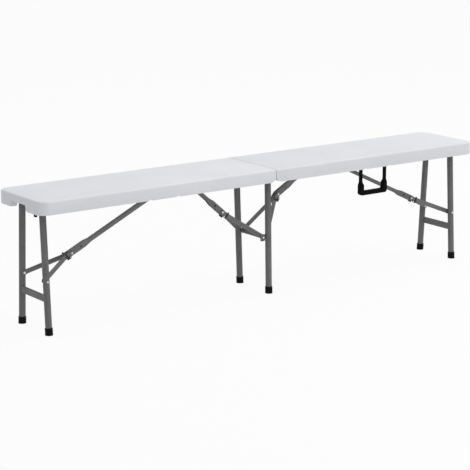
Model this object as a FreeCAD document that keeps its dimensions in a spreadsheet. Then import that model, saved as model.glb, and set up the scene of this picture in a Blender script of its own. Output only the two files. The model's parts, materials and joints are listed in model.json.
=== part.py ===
import FreeCAD, Part

# Folding bench: two blow-moulded seat halves that close like a suitcase, four folding leg
# frames with toggle braces, a swing-out carrying handle and a closing hook.
# Frame: X along the bench, right half at positive X. Negative Y is the front. Z is up and the
# floor is z = 0. Each half is drawn at positive X, and the left half is turned half a turn
# about Z, because the bench is the same after half a turn, apart from its handle and hook.

import math
import os
import re
from types import SimpleNamespace

import Sketcher

DRIVING = [
    # the bench as a whole
    ("bench_length", 1830.0, "overall length"),
    ("bench_width", 280.0, "seat width"),
    ("bench_height", 445.0, "floor to the top of the seat"),
    ("seam_gap", 3.0, "gap between the two halves at the seam"),
    ("fold_gap", 2.0, "gap between the two rims when the bench is shut"),
    # blow-moulded seat half
    ("skirt_depth", 44.0, "height of the moulded rim"),
    ("corner_radius", 35.0, "plan radius of the outer corners"),
    ("top_edge_radius", 6.0, "rounding of the top edge"),
    ("seam_edge_radius", 2.5, "rounding of the edges at the seam"),
    ("seam_heel_radius", 22.0, "rounding of the rim's lower corner at the seam"),
    ("rim_width", 22.0, "width of the hollow rim"),
    ("seam_wall", 6.0, "wall at the seam"),
    ("core_thickness", 15.0, "thickness of the hollow deck"),
    ("groove_width", 44.0, "width of the groove for the braces"),
    ("groove_depth", 7.0, "depth of the groove in the deck"),
    ("groove_start", 60.0, "groove end near the seam"),
    ("groove_end", 800.0, "groove end near the bench end"),
    ("recess_corner", 14.0, "corner radius of the underside recess"),
    ("skin", 3.0, "wall of the blow moulding"),
    ("vent_hole", 5.0, "diameter of the moulding's vent"),
    ("end_notch_wide", 100.0, "width of the end notch at the rim's lower edge"),
    ("end_notch_narrow", 84.0, "width of the end notch at its roof"),
    ("end_notch_height", 20.0, "height of the end notch"),
    # steel rails under the deck
    ("rail_width", 13.0, "rail tube width"),
    ("rail_height", 24.0, "rail tube height"),
    ("rail_wall", 1.2, "rail tube wall"),
    ("rail_side_gap", 2.0, "rail to rim"),
    ("rail_start", 8.0, "rail end near the seam"),
    ("rail_end_gap", 9.0, "rail end to the end rim"),
    # leg tubes, axles and feet
    ("leg_diameter", 22.0, "leg tube"),
    ("leg_wall", 1.2, "leg tube wall"),
    ("leg_pivot_drop", 30.0, "top of the seat to the leg axles"),
    ("leg_end_inset", 49.0, "bench end to the end legs"),
    ("mid_leg_x", 20.0, "seam to the top of the middle leg"),
    ("right_mid_foot_x", 9.0, "seam to the foot of the right half's middle leg"),
    ("left_mid_foot_x", -12.0, "seam to the foot of the left half's middle leg, past the seam"),
    ("leg_top_y", 63.5, "half the leg spacing at the axle"),
    ("leg_foot_y", 87.0, "half the leg spacing at the floor"),
    ("leg_top_radius", 12.1, "rounded top end of the leg around its axle"),
    ("axle_diameter", 14.0, "leg axle"),
    ("axle_overhang", 1.0, "axle beyond the rail"),
    ("running_clearance", 0.08, "radial clearance of every pivot"),
    ("foot_diameter", 26.0, "rubber foot"),
    ("foot_height", 24.0, "rubber foot"),
    ("foot_sole", 4.0, "rubber under the tube"),
    ("crossbar_z", 118.0, "height of the end leg crossbar"),
    ("crossbar_height", 24.0, "flattened crossbar tube"),
    ("crossbar_thickness", 10.0, "flattened crossbar tube"),
    ("crossbar_offset", 3.5, "crossbar ahead of the leg centres"),
    ("tie_rod_diameter", 10.0, "middle crossbar rod"),
    ("tab_width", 18.0, "end plate of the middle crossbar"),
    ("tab_height", 24.0, "end plate of the middle crossbar"),
    ("tab_y", 70.5, "inner face of the end plate"),
    ("plate", 3.0, "thickness of plates and strips"),
    # toggle braces
    ("end_rivet_z", 174.0, "brace pivot on the end legs"),
    ("mid_rivet_reach", 219.65, "brace pivot on the middle legs, from their axle"),
    ("end_anchor_x", 318.0, "upper link hinge of the end brace"),
    ("mid_anchor_x", 290.0, "upper link hinge of the middle brace"),
    ("anchor_drop", 17.0, "top of the seat to the upper link hinges"),
    ("end_arm", 148.62, "end brace: leg pivot to knee"),
    ("mid_arm", 159.51, "middle brace: leg pivot to knee"),
    ("end_knee_sag", 3.5, "pressed end knee below the straight line of its brace"),
    ("mid_knee_sag", 7.0, "pressed middle knee below the straight line of its brace"),
    ("arm_width", 16.0, "arm strip width"),
    ("arm_knee_y", 7.8, "inner face of the arms at the knee"),
    ("arm_leg_gap", 1.7, "arm to leg tube at the pivot"),
    ("arm_knee_straight", 30.0, "parallel stretch of the arms at the knee"),
    ("arm_leg_straight", 16.0, "parallel stretch of the arms at the leg"),
    ("link_width", 14.0, "upper link channel width"),
    ("link_wall", 1.8, "upper link channel wall"),
    ("link_slim", 12.4, "upper link height at its hinge"),
    ("link_deep", 20.0, "upper link height at the knee"),
    ("link_flare_start", 78.0, "flare start before the knee"),
    ("link_flare_end", 56.0, "flare end before the knee"),
    ("link_nose", 9.0, "link beyond the knee rivet"),
    ("link_hole", 7.0, "hole in the link's side"),
    ("link_hole_back", 40.0, "hole before the knee rivet"),
    ("rivet_diameter", 6.0, "rivets and brace pins"),
    ("rivet_head", 9.0, "rivet head diameter"),
    ("rivet_head_height", 2.0, "rivet head height"),
    ("rivet_seat", 0.35, "rivet head clear of the slanting tube"),
    ("pin_clearance", 0.1, "clearance of faces that slide past each other"),
    ("bracket_length", 27.0, "brace bracket base"),
    ("bracket_width", 41.0, "brace bracket base"),
    ("bracket_screw_x", 9.5, "bracket screws along the bench"),
    ("bracket_screw_y", 16.5, "bracket screws across the bench"),
    ("bracket_screw_head", 7.5, "bracket screw head"),
    ("bracket_screw_bite", 4.0, "bracket screw in the moulding"),
    ("bracket_ear", 18.0, "brace bracket ear length"),
    ("bracket_ear_gap", 1.0, "ear to link"),
    ("bracket_plate", 2.5, "brace bracket plate"),
    ("lock_back", 24.0, "lock plate's far end behind the knee rivet"),
    ("lock_length", 6.0, "lock plate along the arm"),
    ("lock_plate", 2.2, "lock plate thickness"),
    ("lock_high", 11.0, "lock plate above the arm's middle"),
    ("lock_low", 13.0, "lock plate below the arm's middle"),
    ("lock_ear", 8.0, "height of the lock plate's ear"),
    ("lock_rivet", 7.0, "head of the rivet in the lock plate's ear"),
    ("lock_rivet_back", 11.0, "the ear's rivet behind the knee rivet"),
    # fold hinge at the seam
    ("hinge_eye_radius", 9.0, "hinge eye"),
    ("hinge_pin_diameter", 6.0, "hinge pin"),
    ("hinge_layer_gap", 0.3, "between the two hinge plates"),
    ("hinge_plate_length", 62.0, "hinge plate from the seam"),
    ("screw_diameter", 4.5, "panel screws"),
    ("screw_head", 9.0, "panel screw head"),
    ("screw_head_height", 2.4, "panel screw head"),
    ("screw_bite", 8.0, "screw thread in the moulding"),
    ("rail_screw_inset", 80.0, "outer rail screws from the rail's ends"),
    # carrying handle
    ("handle_x", 453.0, "centre of the handle"),
    ("handle_arms", 110.0, "handle arm spacing"),
    ("handle_arm_width", 13.5, "handle arm"),
    ("handle_arm_thickness", 6.0, "handle arm"),
    ("handle_drop", 98.5, "handle pivot to its lower edge"),
    ("handle_grip_height", 15.0, "grip"),
    ("handle_grip_depth", 17.0, "grip"),
    ("handle_corner_width", 17.0, "handle arm at the grip"),
    ("handle_corner_drop", 56.0, "handle pivot to the thick part"),
    ("handle_corner_radius", 10.0, "outer corners of the handle"),
    ("handle_inner_radius", 7.0, "inner corners of the handle"),
    ("handle_pin_diameter", 3.5, "handle pin"),
    ("handle_lug", 3.0, "handle bracket lug"),
    ("handle_lug_gap", 0.6, "lug to handle arm"),
    ("handle_notch_side", 1.0, "rim notch beside the handle arm"),
    ("handle_notch_depth", 2.6, "rim notch above the rim's lower edge"),
    # closing hook
    ("hook_inset", 31.0, "bench end to the hook's middle"),
    ("hook_y", 50.0, "hook, towards the front"),
    ("hook_rise", 8.0, "hook pivot above the rim's lower edge"),
    ("hook_length", 28.0, "hook pivot to its tip"),
    ("hook_width", 9.0, "hook width"),
    ("hook_thickness", 6.0, "hook thickness"),
    ("hook_pin_diameter", 4.0, "hook pin"),
]

LEFT = "left"
RIGHT = "right"
FRONT = "front"
BACK = "back"

doc = FreeCAD.newDocument("folding_bench")
sheet = doc.addObject("Spreadsheet::Sheet", "dims")
sheet.Label = "driving dimensions"
for row, (alias, size, note) in enumerate(DRIVING, start=1):
    sheet.set(f"A{row}", note)
    sheet.set(f"B{row}", str(size))
    sheet.setAlias(f"B{row}", alias)
doc.recompute()

D = SimpleNamespace(**{alias: size for alias, size, note in DRIVING})
ALIASES = {alias for alias, size, note in DRIVING}
nodes = []


# Shared expressions, all of them in the driving dimensions' words.
SKIRT_Z = "(bench_height - skirt_depth)"
CEILING_Z = "(bench_height - core_thickness)"
GROOVE_Z = "(bench_height - core_thickness + groove_depth)"
HALF_LENGTH = "(bench_length / 2)"
HALF_WIDTH = "(bench_width / 2)"
END_WALL_X = f"({HALF_LENGTH} - rim_width)"
SIDE_WALL_Y = f"({HALF_WIDTH} - rim_width)"
SEAM_X = "(seam_gap / 2)"
RAIL_OUT_Y = f"({SIDE_WALL_Y} - rail_side_gap)"
RAIL_IN_Y = f"({RAIL_OUT_Y} - rail_width)"
RAIL_MID_Y = f"(({RAIL_IN_Y} + {RAIL_OUT_Y}) / 2)"
RAIL_Z = f"({CEILING_Z} - rail_height)"
RAIL_END_X = f"({END_WALL_X} - rail_end_gap)"
END_LEG_X = f"({HALF_LENGTH} - leg_end_inset)"
FOLD_Z = f"({SKIRT_Z} - fold_gap / 2)"
LEG_PIVOT_Z = "(bench_height - leg_pivot_drop)"
ANCHOR_Z = "(bench_height - anchor_drop)"
HOOK_Z = f"({SKIRT_Z} + hook_rise)"


def bound(text):
    """Returns the text with each driving dimension's word pointing at its sheet cell."""
    return re.sub(r"[a-z_]+", lambda word: f"dims.{word[0]}" if word[0] in ALIASES else word[0], str(text))


def value(text):
    """Returns the number that an expression in the driving dimensions gives."""
    return float(sheet.evalExpression(bound(text)))


def vector(x, y, z):
    """Returns a vector from three expressions."""
    return FreeCAD.Vector(value(x), value(y), value(z))


def half_turn(side):
    """Returns the placement of a half: the left one is turned half a turn about Z."""
    angle = 180.0 if side == LEFT else 0.0
    return FreeCAD.Placement(FreeCAD.Vector(), FreeCAD.Rotation(FreeCAD.Vector(0, 0, 1), angle))


def along(direction, origin):
    """Returns a placement whose local Z points along a direction, from an origin."""
    return FreeCAD.Placement(origin, FreeCAD.Rotation(FreeCAD.Vector(0, 0, 1), direction))


def box(name, x, y, z):
    """Makes a box between pairs of expressions along X, Y and Z."""
    made = doc.addObject("Part::Box", name)
    for size, axis, (low, high) in (("Length", "x", x), ("Width", "y", y), ("Height", "z", z)):
        made.setExpression(size, bound(f"({high}) - ({low})"))
        made.setExpression(f"Placement.Base.{axis}", bound(low))
    return made


def cylinder(name, radius, length, placement):
    """Makes a cylinder along the local Z of a placement, with its sizes bound."""
    made = doc.addObject("Part::Cylinder", name)
    made.setExpression("Radius", bound(radius))
    made.setExpression("Height", bound(length))
    made.Placement = placement
    return made


def pin_along_y(name, radius, x, y, z):
    """Makes a cylinder along Y between a pair of expressions."""
    made = cylinder(name, radius, f"({y[1]}) - ({y[0]})", along(FreeCAD.Vector(0, 1, 0), FreeCAD.Vector()))
    for axis, place in (("x", x), ("y", y[0]), ("z", z)):
        made.setExpression(f"Placement.Base.{axis}", bound(place))
    return made


def pin_along_x(name, radius, x, y, z):
    """Makes a cylinder along X between a pair of expressions."""
    made = cylinder(name, radius, f"({x[1]}) - ({x[0]})", along(FreeCAD.Vector(1, 0, 0), FreeCAD.Vector()))
    for axis, place in (("x", x[0]), ("y", y), ("z", z)):
        made.setExpression(f"Placement.Base.{axis}", bound(place))
    return made


def pin_along_z(name, radius, x, y, z):
    """Makes a cylinder along Z between a pair of expressions."""
    made = cylinder(name, radius, f"({z[1]}) - ({z[0]})", FreeCAD.Placement())
    for axis, place in (("x", x), ("y", y), ("z", z[0])):
        made.setExpression(f"Placement.Base.{axis}", bound(place))
    return made


def fuse(name, parts):
    """Joins shapes into one."""
    made = doc.addObject("Part::MultiFuse", name)
    made.Shapes = parts
    return made


def cut(name, base, tools):
    """Cuts shapes away from a base."""
    made = doc.addObject("Part::Cut", name)
    made.Base = base
    made.Tool = tools[0] if len(tools) == 1 else fuse(f"{name}_tools", tools)
    return made


def sub_part(label, solids, side=RIGHT):
    """Makes a named sub-part of separate solids, on its own half."""
    made = doc.addObject("Part::Compound", f"{label}_node")
    made.Links = solids
    made.Label = label
    made.Placement = half_turn(side)
    nodes.append(made)
    return made


def body_part(label, body, placement):
    """Names a body as a sub-part and puts it in its place."""
    body.Label = label
    body.Placement = placement
    nodes.append(body)
    return body


def hold(sketch, item, point, axis, place):
    """Fixes one coordinate of a sketch point at an expression."""
    kind = f"Distance{axis}"
    if value(place) >= 0:
        index = sketch.addConstraint(Sketcher.Constraint(kind, -1, 1, item, point, value(place)))
        sketch.setExpression(f"Constraints[{index}]", bound(place))
    else:
        index = sketch.addConstraint(Sketcher.Constraint(kind, item, point, -1, 1, -value(place)))
        sketch.setExpression(f"Constraints[{index}]", bound(f"-({place})"))


def sketch_on(body, name, role, offset):
    """Starts a sketch on one of the body's own origin planes."""
    sketch = body.newObject("Sketcher::SketchObject", name)
    plane = [item for item in body.Origin.OriginFeatures if item.Role == role][0]
    sketch.AttachmentSupport = [(plane, "")]
    sketch.MapMode = "FlatFace"
    if offset is not None:
        sketch.setExpression("AttachmentOffset.Base.z", bound(offset))
    return sketch


def outline(body, name, role, points, offset=None):
    """Draws a closed outline whose corners sit at pairs of expressions."""
    sketch = sketch_on(body, name, role, offset)
    corners = [FreeCAD.Vector(value(first), value(second), 0) for first, second in points]
    count = len(corners)
    for index, corner in enumerate(corners):
        sketch.addGeometry(Part.LineSegment(corner, corners[(index + 1) % count]))
    for index in range(count):
        sketch.addConstraint(Sketcher.Constraint("Coincident", index, 2, (index + 1) % count, 1))
    for index, (first, second) in enumerate(points):
        hold(sketch, index, 1, "X", first)
        hold(sketch, index, 1, "Y", second)
    return sketch


def circles(body, name, role, places, radius, offset=None):
    """Draws circles of one radius at pairs of expressions."""
    sketch = sketch_on(body, name, role, offset)
    for index, (first, second) in enumerate(places):
        centre = FreeCAD.Vector(value(first), value(second), 0)
        sketch.addGeometry(Part.Circle(centre, FreeCAD.Vector(0, 0, 1), value(radius)))
        number = sketch.addConstraint(Sketcher.Constraint("Radius", index, value(radius)))
        sketch.setExpression(f"Constraints[{number}]", bound(radius))
        hold(sketch, index, 3, "X", first)
        hold(sketch, index, 3, "Y", second)
    return sketch


def rectangle(x, y):
    """Returns the four corners of a rectangle."""
    return [(x[0], y[0]), (x[1], y[0]), (x[1], y[1]), (x[0], y[1])]


def pad(body, name, sketch, length, symmetric=False):
    """Raises a sketch into a solid."""
    made = body.newObject("PartDesign::Pad", name)
    made.Profile = sketch
    made.setExpression("Length", bound(length))
    made.SideType = "Symmetric" if symmetric else "One side"
    return made


def pocket(body, name, sketch, length, symmetric=False, reverse=False):
    """Cuts a sketch out of the body, and checks that it removed something."""
    doc.recompute()
    before = body.Shape.Volume
    made = body.newObject("PartDesign::Pocket", name)
    made.Profile = sketch
    made.setExpression("Length", bound(length))
    made.SideType = "Symmetric" if symmetric else "One side"
    made.Reversed = reverse
    doc.recompute()
    assert body.Shape.Volume < before - 1.0, f"{name} cuts nothing"
    return made


def fillet(body, name, radius, wanted):
    """Rounds the edges of the body that a test picks."""
    doc.recompute()
    tip = body.Tip
    edges = [f"Edge{i}" for i, edge in enumerate(tip.Shape.Edges, start=1) if wanted(edge.BoundBox)]
    assert edges, f"{name} finds no edge"
    made = body.newObject("PartDesign::Fillet", name)
    made.Base = (tip, edges)
    made.setExpression("Radius", bound(radius))
    doc.recompute()
    return made


def near(first, second):
    """Tells whether two numbers are the same size to a thousandth."""
    return abs(first - second) < 1e-3


# Seat halves.

def seat_outer(side):
    """Makes the outer form of a seat half with its recess, groove and notches."""
    body = doc.addObject("PartDesign::Body", f"{side}_seat_body")
    top_z, base_z, end_x, seam_x = value("bench_height"), value(SKIRT_Z), value(HALF_LENGTH), value(SEAM_X)
    plan = rectangle((SEAM_X, HALF_LENGTH), (f"-{HALF_WIDTH}", HALF_WIDTH))
    pad(body, f"{side}_slab", outline(body, f"{side}_plan", "XY_Plane", plan, SKIRT_Z), "skirt_depth")
    fillet(body, f"{side}_corners", "corner_radius",
           lambda b: near(b.XMin, end_x) and near(b.XMax, end_x) and b.ZLength > 1 and b.YLength < 1)
    fillet(body, f"{side}_heel", "seam_heel_radius",
           lambda b: near(b.XMax, seam_x) and near(b.ZMax, base_z) and b.YLength > 1)
    fillet(body, f"{side}_top_edge", "top_edge_radius",
           lambda b: near(b.ZMin, top_z) and b.XMax > seam_x + 1)
    fillet(body, f"{side}_seam_edge", "seam_edge_radius",
           lambda b: near(b.XMax, seam_x) and b.ZMax > base_z + D.seam_heel_radius + 1)
    recess = rectangle((f"{SEAM_X} + seam_wall", END_WALL_X), (f"-{SIDE_WALL_Y}", SIDE_WALL_Y))
    pocket(body, f"{side}_recess", outline(body, f"{side}_recess_plan", "XY_Plane", recess, SKIRT_Z),
           "skirt_depth - core_thickness", reverse=True)
    fillet(body, f"{side}_recess_corners", "recess_corner",
           lambda b: near(b.XMin, value(END_WALL_X)) and near(b.XMax, value(END_WALL_X)) and b.YLength < 1)
    groove = rectangle(("groove_start", "groove_end"), ("-groove_width / 2", "groove_width / 2"))
    pocket(body, f"{side}_groove", outline(body, f"{side}_groove_plan", "XY_Plane", groove, CEILING_Z),
           "groove_depth", reverse=True)
    notch = [("-end_notch_wide / 2", SKIRT_Z), ("end_notch_wide / 2", SKIRT_Z),
             ("end_notch_narrow / 2", f"{SKIRT_Z} + end_notch_height"),
             ("-end_notch_narrow / 2", f"{SKIRT_Z} + end_notch_height")]
    pocket(body, f"{side}_end_notch", outline(body, f"{side}_notch_face", "YZ_Plane", notch, HALF_LENGTH),
           "rim_width")
    return body


def handle_notches(side):
    """Makes the two blocks that cut the handle arms' notches in the front rim of a half."""
    sign = 1 if side == RIGHT else -1
    y = (f"-{HALF_WIDTH} - 1", f"-{SIDE_WALL_Y} + 1") if sign > 0 else (f"{SIDE_WALL_Y} - 1", f"{HALF_WIDTH} + 1")
    reach = "(handle_arm_width / 2 + handle_notch_side)"
    blocks = []
    for step in (-1, 1):
        centre = f"(handle_x + {step} * handle_arms / 2)"
        blocks.append(box(f"{side}_handle_notch", (f"{centre} - {reach}", f"{centre} + {reach}"), y,
                          (f"{SKIRT_Z} - 1", f"{SKIRT_Z} + handle_notch_depth")))
    return blocks


def seat_hollow(side):
    """Makes the air space inside the blow moulding: two decks, the side rims and the end rim."""
    low, high = f"{CEILING_Z} + skin", "bench_height - skin"
    in_x = (f"{SEAM_X} + seam_heel_radius", f"{HALF_LENGTH} - corner_radius")
    spaces = []
    for sign in (-1, 1):
        deck = [f"{sign} * (groove_width / 2 + skin)", f"{sign} * ({RAIL_IN_Y} - skin)"]
        spaces.append(box(f"{side}_deck_space", in_x, sorted(deck, key=value), (low, high)))
        rim = [f"{sign} * ({SIDE_WALL_Y} + skin)", f"{sign} * ({HALF_WIDTH} - skin)"]
        spaces.append(box(f"{side}_rim_space", in_x, sorted(rim, key=value),
                          (f"{SKIRT_Z} + handle_notch_depth + skin", high)))
    wide = f"({HALF_WIDTH} - skin)"
    spaces.append(box(f"{side}_end_space", (f"{END_WALL_X} - skin - rim_width / 2", in_x[1]),
                      (f"-{wide}", wide), (low, high)))
    vent = pin_along_z(f"{side}_vent", "vent_hole / 2", "bench_length / 4", f"{RAIL_IN_Y} / 2",
                       (f"{CEILING_Z} - 1", f"{low} + 1"))
    return spaces + [vent]


def pilot_holes(side):
    """Makes the holes that the panel screws bite into."""
    holes = []
    for sign in ("-1", "1"):
        for x in rail_screw_places():
            holes.append(pin_along_z(f"{side}_rail_pilot", "screw_diameter / 2", x, f"{sign} * {RAIL_MID_Y}",
                                     (f"{CEILING_Z} - 1", f"{CEILING_Z} + screw_bite")))
    for anchor in ("mid_anchor_x", "end_anchor_x"):
        for x, y in bracket_screw_places(anchor):
            holes.append(pin_along_z(f"{side}_bracket_pilot", "screw_diameter / 2", x, y,
                                     (f"{GROOVE_Z} - 1", f"{GROOVE_Z} + bracket_screw_bite")))
    return holes


def seat_panel(side):
    """Makes one seat half as a hollow moulding with bosses left solid over the rails."""
    tools = seat_hollow(side) + handle_notches(side) + pilot_holes(side)
    sub_part(f"{side}_seat_panel", [cut(f"{side}_seat", seat_outer(side), tools)], side)


# Rails, hinge and screws.

def rail(side, place):
    """Makes one steel rail tube with the bores for the two leg axles."""
    sign = "-1" if place == FRONT else "1"
    edges = sorted([f"{sign} * {RAIL_IN_Y}", f"{sign} * {RAIL_OUT_Y}"], key=value)
    name = f"{side}_{place}_rail"
    outer = box(f"{name}_outer", ("rail_start", RAIL_END_X), edges, (RAIL_Z, CEILING_Z))
    inner = box(f"{name}_inner", ("rail_start - 1", f"{RAIL_END_X} + 1"),
                (f"{edges[0]} + rail_wall", f"{edges[1]} - rail_wall"),
                (f"{RAIL_Z} + rail_wall", f"{CEILING_Z} - rail_wall"))
    bore = "axle_diameter / 2 + running_clearance"
    span = (f"{edges[0]} - 1", f"{edges[1]} + 1")
    bores = [pin_along_y(f"{name}_bore", bore, x, span, LEG_PIVOT_Z) for x in ("mid_leg_x", END_LEG_X)]
    holes = [pin_along_z(f"{name}_screw_hole", "screw_diameter / 2 + pin_clearance", x, f"{sign} * {RAIL_MID_Y}",
                         (f"{RAIL_Z} - 1", f"{CEILING_Z} + 1")) for x in rail_screw_places()]
    sub_part(name, [cut(f"{name}_tube", outer, [inner] + bores + holes)], side)


def rail_screw_places():
    """Returns where along a half its rails are screwed on: by their ends and clear of the handle."""
    return ["rail_start + rail_screw_inset", "handle_x - handle_arms", "handle_x + handle_arms",
            f"{RAIL_END_X} - rail_screw_inset"]


def bracket_screw_places(anchor):
    """Returns where a brace bracket is screwed to the moulding, as pairs along and across."""
    return [(f"{anchor} {sign} bracket_screw_x", f"0 {sign} bracket_screw_y") for sign in ("-", "+")]


def screw(name, head_size, x, y, seat_z, tip_z):
    """Makes a headed screw that points up: its head is under seat_z and its tip is at tip_z."""
    head = pin_along_z(f"{name}_head", f"{head_size} / 2", x, y, (f"{seat_z} - screw_head_height", seat_z))
    shank = pin_along_z(f"{name}_shank", "screw_diameter / 2", x, y, (seat_z, tip_z))
    return fuse(name, [head, shank])


def screws(side):
    """Makes the screws that hold the rails and the brace brackets to a moulding."""
    made = []
    for sign in ("-1", "1"):
        for x in rail_screw_places():
            made.append(screw(f"{side}_rail_screw", "screw_head", x, f"{sign} * {RAIL_MID_Y}", RAIL_Z,
                              f"{CEILING_Z} + screw_bite"))
    for anchor in ("mid_anchor_x", "end_anchor_x"):
        for x, y in bracket_screw_places(anchor):
            made.append(screw(f"{side}_bracket_screw", "bracket_screw_head", x, y, f"{GROOVE_Z} - bracket_plate",
                              f"{GROOVE_Z} + bracket_screw_bite"))
    sub_part(f"{side}_panel_screws", made, side)


def hinge_plates(side):
    """Makes the pair of hinge plates of a half. The left ones are a layer further in."""
    layer = "0" if side == RIGHT else "(plate + hinge_layer_gap)"
    made = []
    for sign in ("-1", "1"):
        flat = sorted([f"{sign} * ({RAIL_IN_Y} - {layer})", f"{sign} * ({RAIL_IN_Y} - {layer} - plate)"], key=value)
        name = f"{side}_hinge_plate"
        eye = pin_along_y(f"{name}_eye", "hinge_eye_radius", "0", flat, FOLD_Z)
        neck_top = f"{FOLD_Z} + hinge_eye_radius - 2"
        neck = box(f"{name}_neck", ("0", f"{SEAM_X} + seam_wall + 8"), flat, (SKIRT_Z, neck_top))
        inner_x = f"{SEAM_X} + seam_wall + 1"
        leaf = box(f"{name}_leaf", (inner_x, "hinge_plate_length"), flat, (SKIRT_Z, f"{CEILING_Z} - 1"))
        parts = [eye, neck, leaf]
        if side == LEFT:
            spacer = sorted([f"{sign} * {RAIL_IN_Y}", f"{sign} * ({RAIL_IN_Y} - {layer})"], key=value)
            parts.append(box(f"{name}_spacer", ("hinge_plate_length / 2", "hinge_plate_length"), spacer,
                             (RAIL_Z, f"{CEILING_Z} - 1")))
        bore = pin_along_y(f"{name}_bore", "hinge_pin_diameter / 2 + running_clearance", "0",
                           (f"{flat[0]} - 1", f"{flat[1]} + 1"), FOLD_Z)
        axle = pin_along_y(f"{name}_axle_hole", "axle_diameter / 2 + 1", "mid_leg_x",
                           (f"{flat[0]} - 1", f"{flat[1]} + 1"), LEG_PIVOT_Z)
        made.append(cut(f"{name}_plate", fuse(f"{name}_blank", parts), [bore, axle]))
    sub_part(f"{side}_hinge_plates", made, side)


def hinge_pins():
    """Makes the two headed pins on the fold axis."""
    made = []
    outer = RAIL_IN_Y
    inner = f"({RAIL_IN_Y} - 2 * plate - hinge_layer_gap)"
    for sign in ("-1", "1"):
        span = sorted([f"{sign} * ({outer} + pin_clearance)", f"{sign} * ({inner} - pin_clearance)"], key=value)
        shank = pin_along_y("hinge_pin_shank", "hinge_pin_diameter / 2", "0", span, FOLD_Z)
        parts = [shank]
        for edge, way in ((outer, "1"), (inner, "-1")):
            near_y = f"{sign} * ({edge} + {way} * pin_clearance)"
            far_y = f"{sign} * ({edge} + {way} * (pin_clearance + rivet_head_height))"
            parts.append(pin_along_y("hinge_pin_head", "rivet_head / 2", "0", sorted([near_y, far_y], key=value),
                                     FOLD_Z))
        made.append(fuse("hinge_pin", parts))
    sub_part("hinge_pins", made)


# Leg frames.

def leg_line(x_top, x_foot, sign):
    """Returns a leg's pivot point, its direction down the tube and its length to the floor."""
    pivot = vector(x_top, f"{sign} * leg_top_y", LEG_PIVOT_Z)
    foot = vector(x_foot, f"{sign} * leg_foot_y", "0")
    line = foot - pivot
    return pivot, FreeCAD.Vector(line).normalize(), line.Length


def leg_tube(label, side, x_top, x_foot, sign, rivet_z, rivet_radius):
    """Makes one leg tube with its axle bore and its brace rivet bore."""
    pivot, down, length = leg_line(x_top, x_foot, sign)
    start = pivot - down * (D.leg_diameter / 2)
    span = length + D.leg_diameter / 2 - D.foot_sole
    place = along(down, start)
    tube = cylinder(f"{label}_outer", "leg_diameter / 2", str(span), place)
    air = cylinder(f"{label}_inner", "leg_diameter / 2 - leg_wall", str(span + 2), along(down, start - down))
    reach = "(leg_foot_y + leg_diameter)"
    across = sorted(["0", f"{sign} * {reach}"], key=value)
    axle = pin_along_y(f"{label}_axle_bore", "axle_diameter / 2", x_top, across, LEG_PIVOT_Z)
    rivet_x = str(rivet_point(x_top, x_foot, rivet_z).x)
    rivet = pin_along_y(f"{label}_rivet_bore", rivet_radius, rivet_x, across, rivet_z)
    block = box(f"{label}_top_box", (f"{x_top} - 30", f"{x_top} + 30"), across,
                (LEG_PIVOT_Z, f"{LEG_PIVOT_Z} + 30"))
    eye = pin_along_y(f"{label}_top_eye", "leg_top_radius", x_top,
                      (f"{across[0]} - 1", f"{across[1]} + 1"), LEG_PIVOT_Z)
    rounding = cut(f"{label}_top_rounding", block, [eye])
    sub_part(label, [cut(f"{label}_tube", tube, [air, axle, rivet, rounding])], side)


def rivet_point(x_top, x_foot, rivet_z):
    """Returns the brace pivot in the leg frame's middle plane, and half the leg spacing there as y."""
    share = (value(LEG_PIVOT_Z) - value(rivet_z)) / value(LEG_PIVOT_Z)
    x = value(x_top) + (value(x_foot) - value(x_top)) * share
    return FreeCAD.Vector(x, D.leg_top_y + (D.leg_foot_y - D.leg_top_y) * share, value(rivet_z))


def feet(label, side, x_top, x_foot, signs):
    """Makes the rubber feet of a leg frame, cut flat at the floor."""
    made = []
    for sign in signs:
        pivot, down, length = leg_line(x_top, x_foot, sign)
        top = pivot + down * (length - D.foot_height)
        outer = cylinder(f"{label}_outer", "foot_diameter / 2", "foot_height + foot_sole", along(down, top))
        socket = cylinder(f"{label}_socket", "leg_diameter / 2", "foot_height - foot_sole + 1",
                          along(down, top - down))
        below = box(f"{label}_floor", (f"{x_foot} - 50", f"{x_foot} + 50"),
                    sorted([f"{sign} * (leg_foot_y - 50)", f"{sign} * (leg_foot_y + 50)"], key=value),
                    ("-50", "0"))
        made.append(cut(f"{label}_cap", outer, [socket, below]))
    sub_part(label, made, side)


def axle(label, side, x):
    """Makes a leg axle through both rails."""
    reach = f"({RAIL_OUT_Y} + axle_overhang)"
    sub_part(label, [pin_along_y(f"{label}_rod", "axle_diameter / 2", x, (f"-{reach}", reach), LEG_PIVOT_Z)], side)


def flat_bar(name, x, reach_y, z, height, thickness):
    """Makes a flattened tube along Y: straight sides with round upper and lower edges."""
    half = f"({height} - {thickness}) / 2"
    middle = box(f"{name}_middle", (f"{x} - {thickness} / 2", f"{x} + {thickness} / 2"), reach_y,
                 (f"{z} - {half}", f"{z} + {half}"))
    ends = [pin_along_y(f"{name}_edge", f"{thickness} / 2", x, reach_y, f"{z} + {sign} * {half}")
            for sign in ("-1", "1")]
    return fuse(name, [middle] + ends)


def end_crossbar(side):
    """Makes the flattened crossbar low on the end legs, coped to both tubes."""
    name = f"{side}_end_crossbar"
    share = f"(({LEG_PIVOT_Z} - crossbar_z) / {LEG_PIVOT_Z})"
    reach = f"(leg_top_y + (leg_foot_y - leg_top_y) * {share})"
    bar = flat_bar(f"{name}_bar", f"({END_LEG_X} + crossbar_offset)", (f"-{reach}", reach), "crossbar_z",
                   "crossbar_height", "crossbar_thickness")
    tubes = []
    for sign in ("-1", "1"):
        pivot, down, length = leg_line(END_LEG_X, END_LEG_X, sign)
        tubes.append(cylinder(f"{name}_cope", "leg_diameter / 2", str(length), along(down, pivot)))
    sub_part(name, [cut(f"{name}_coped", bar, tubes)], side)


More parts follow.
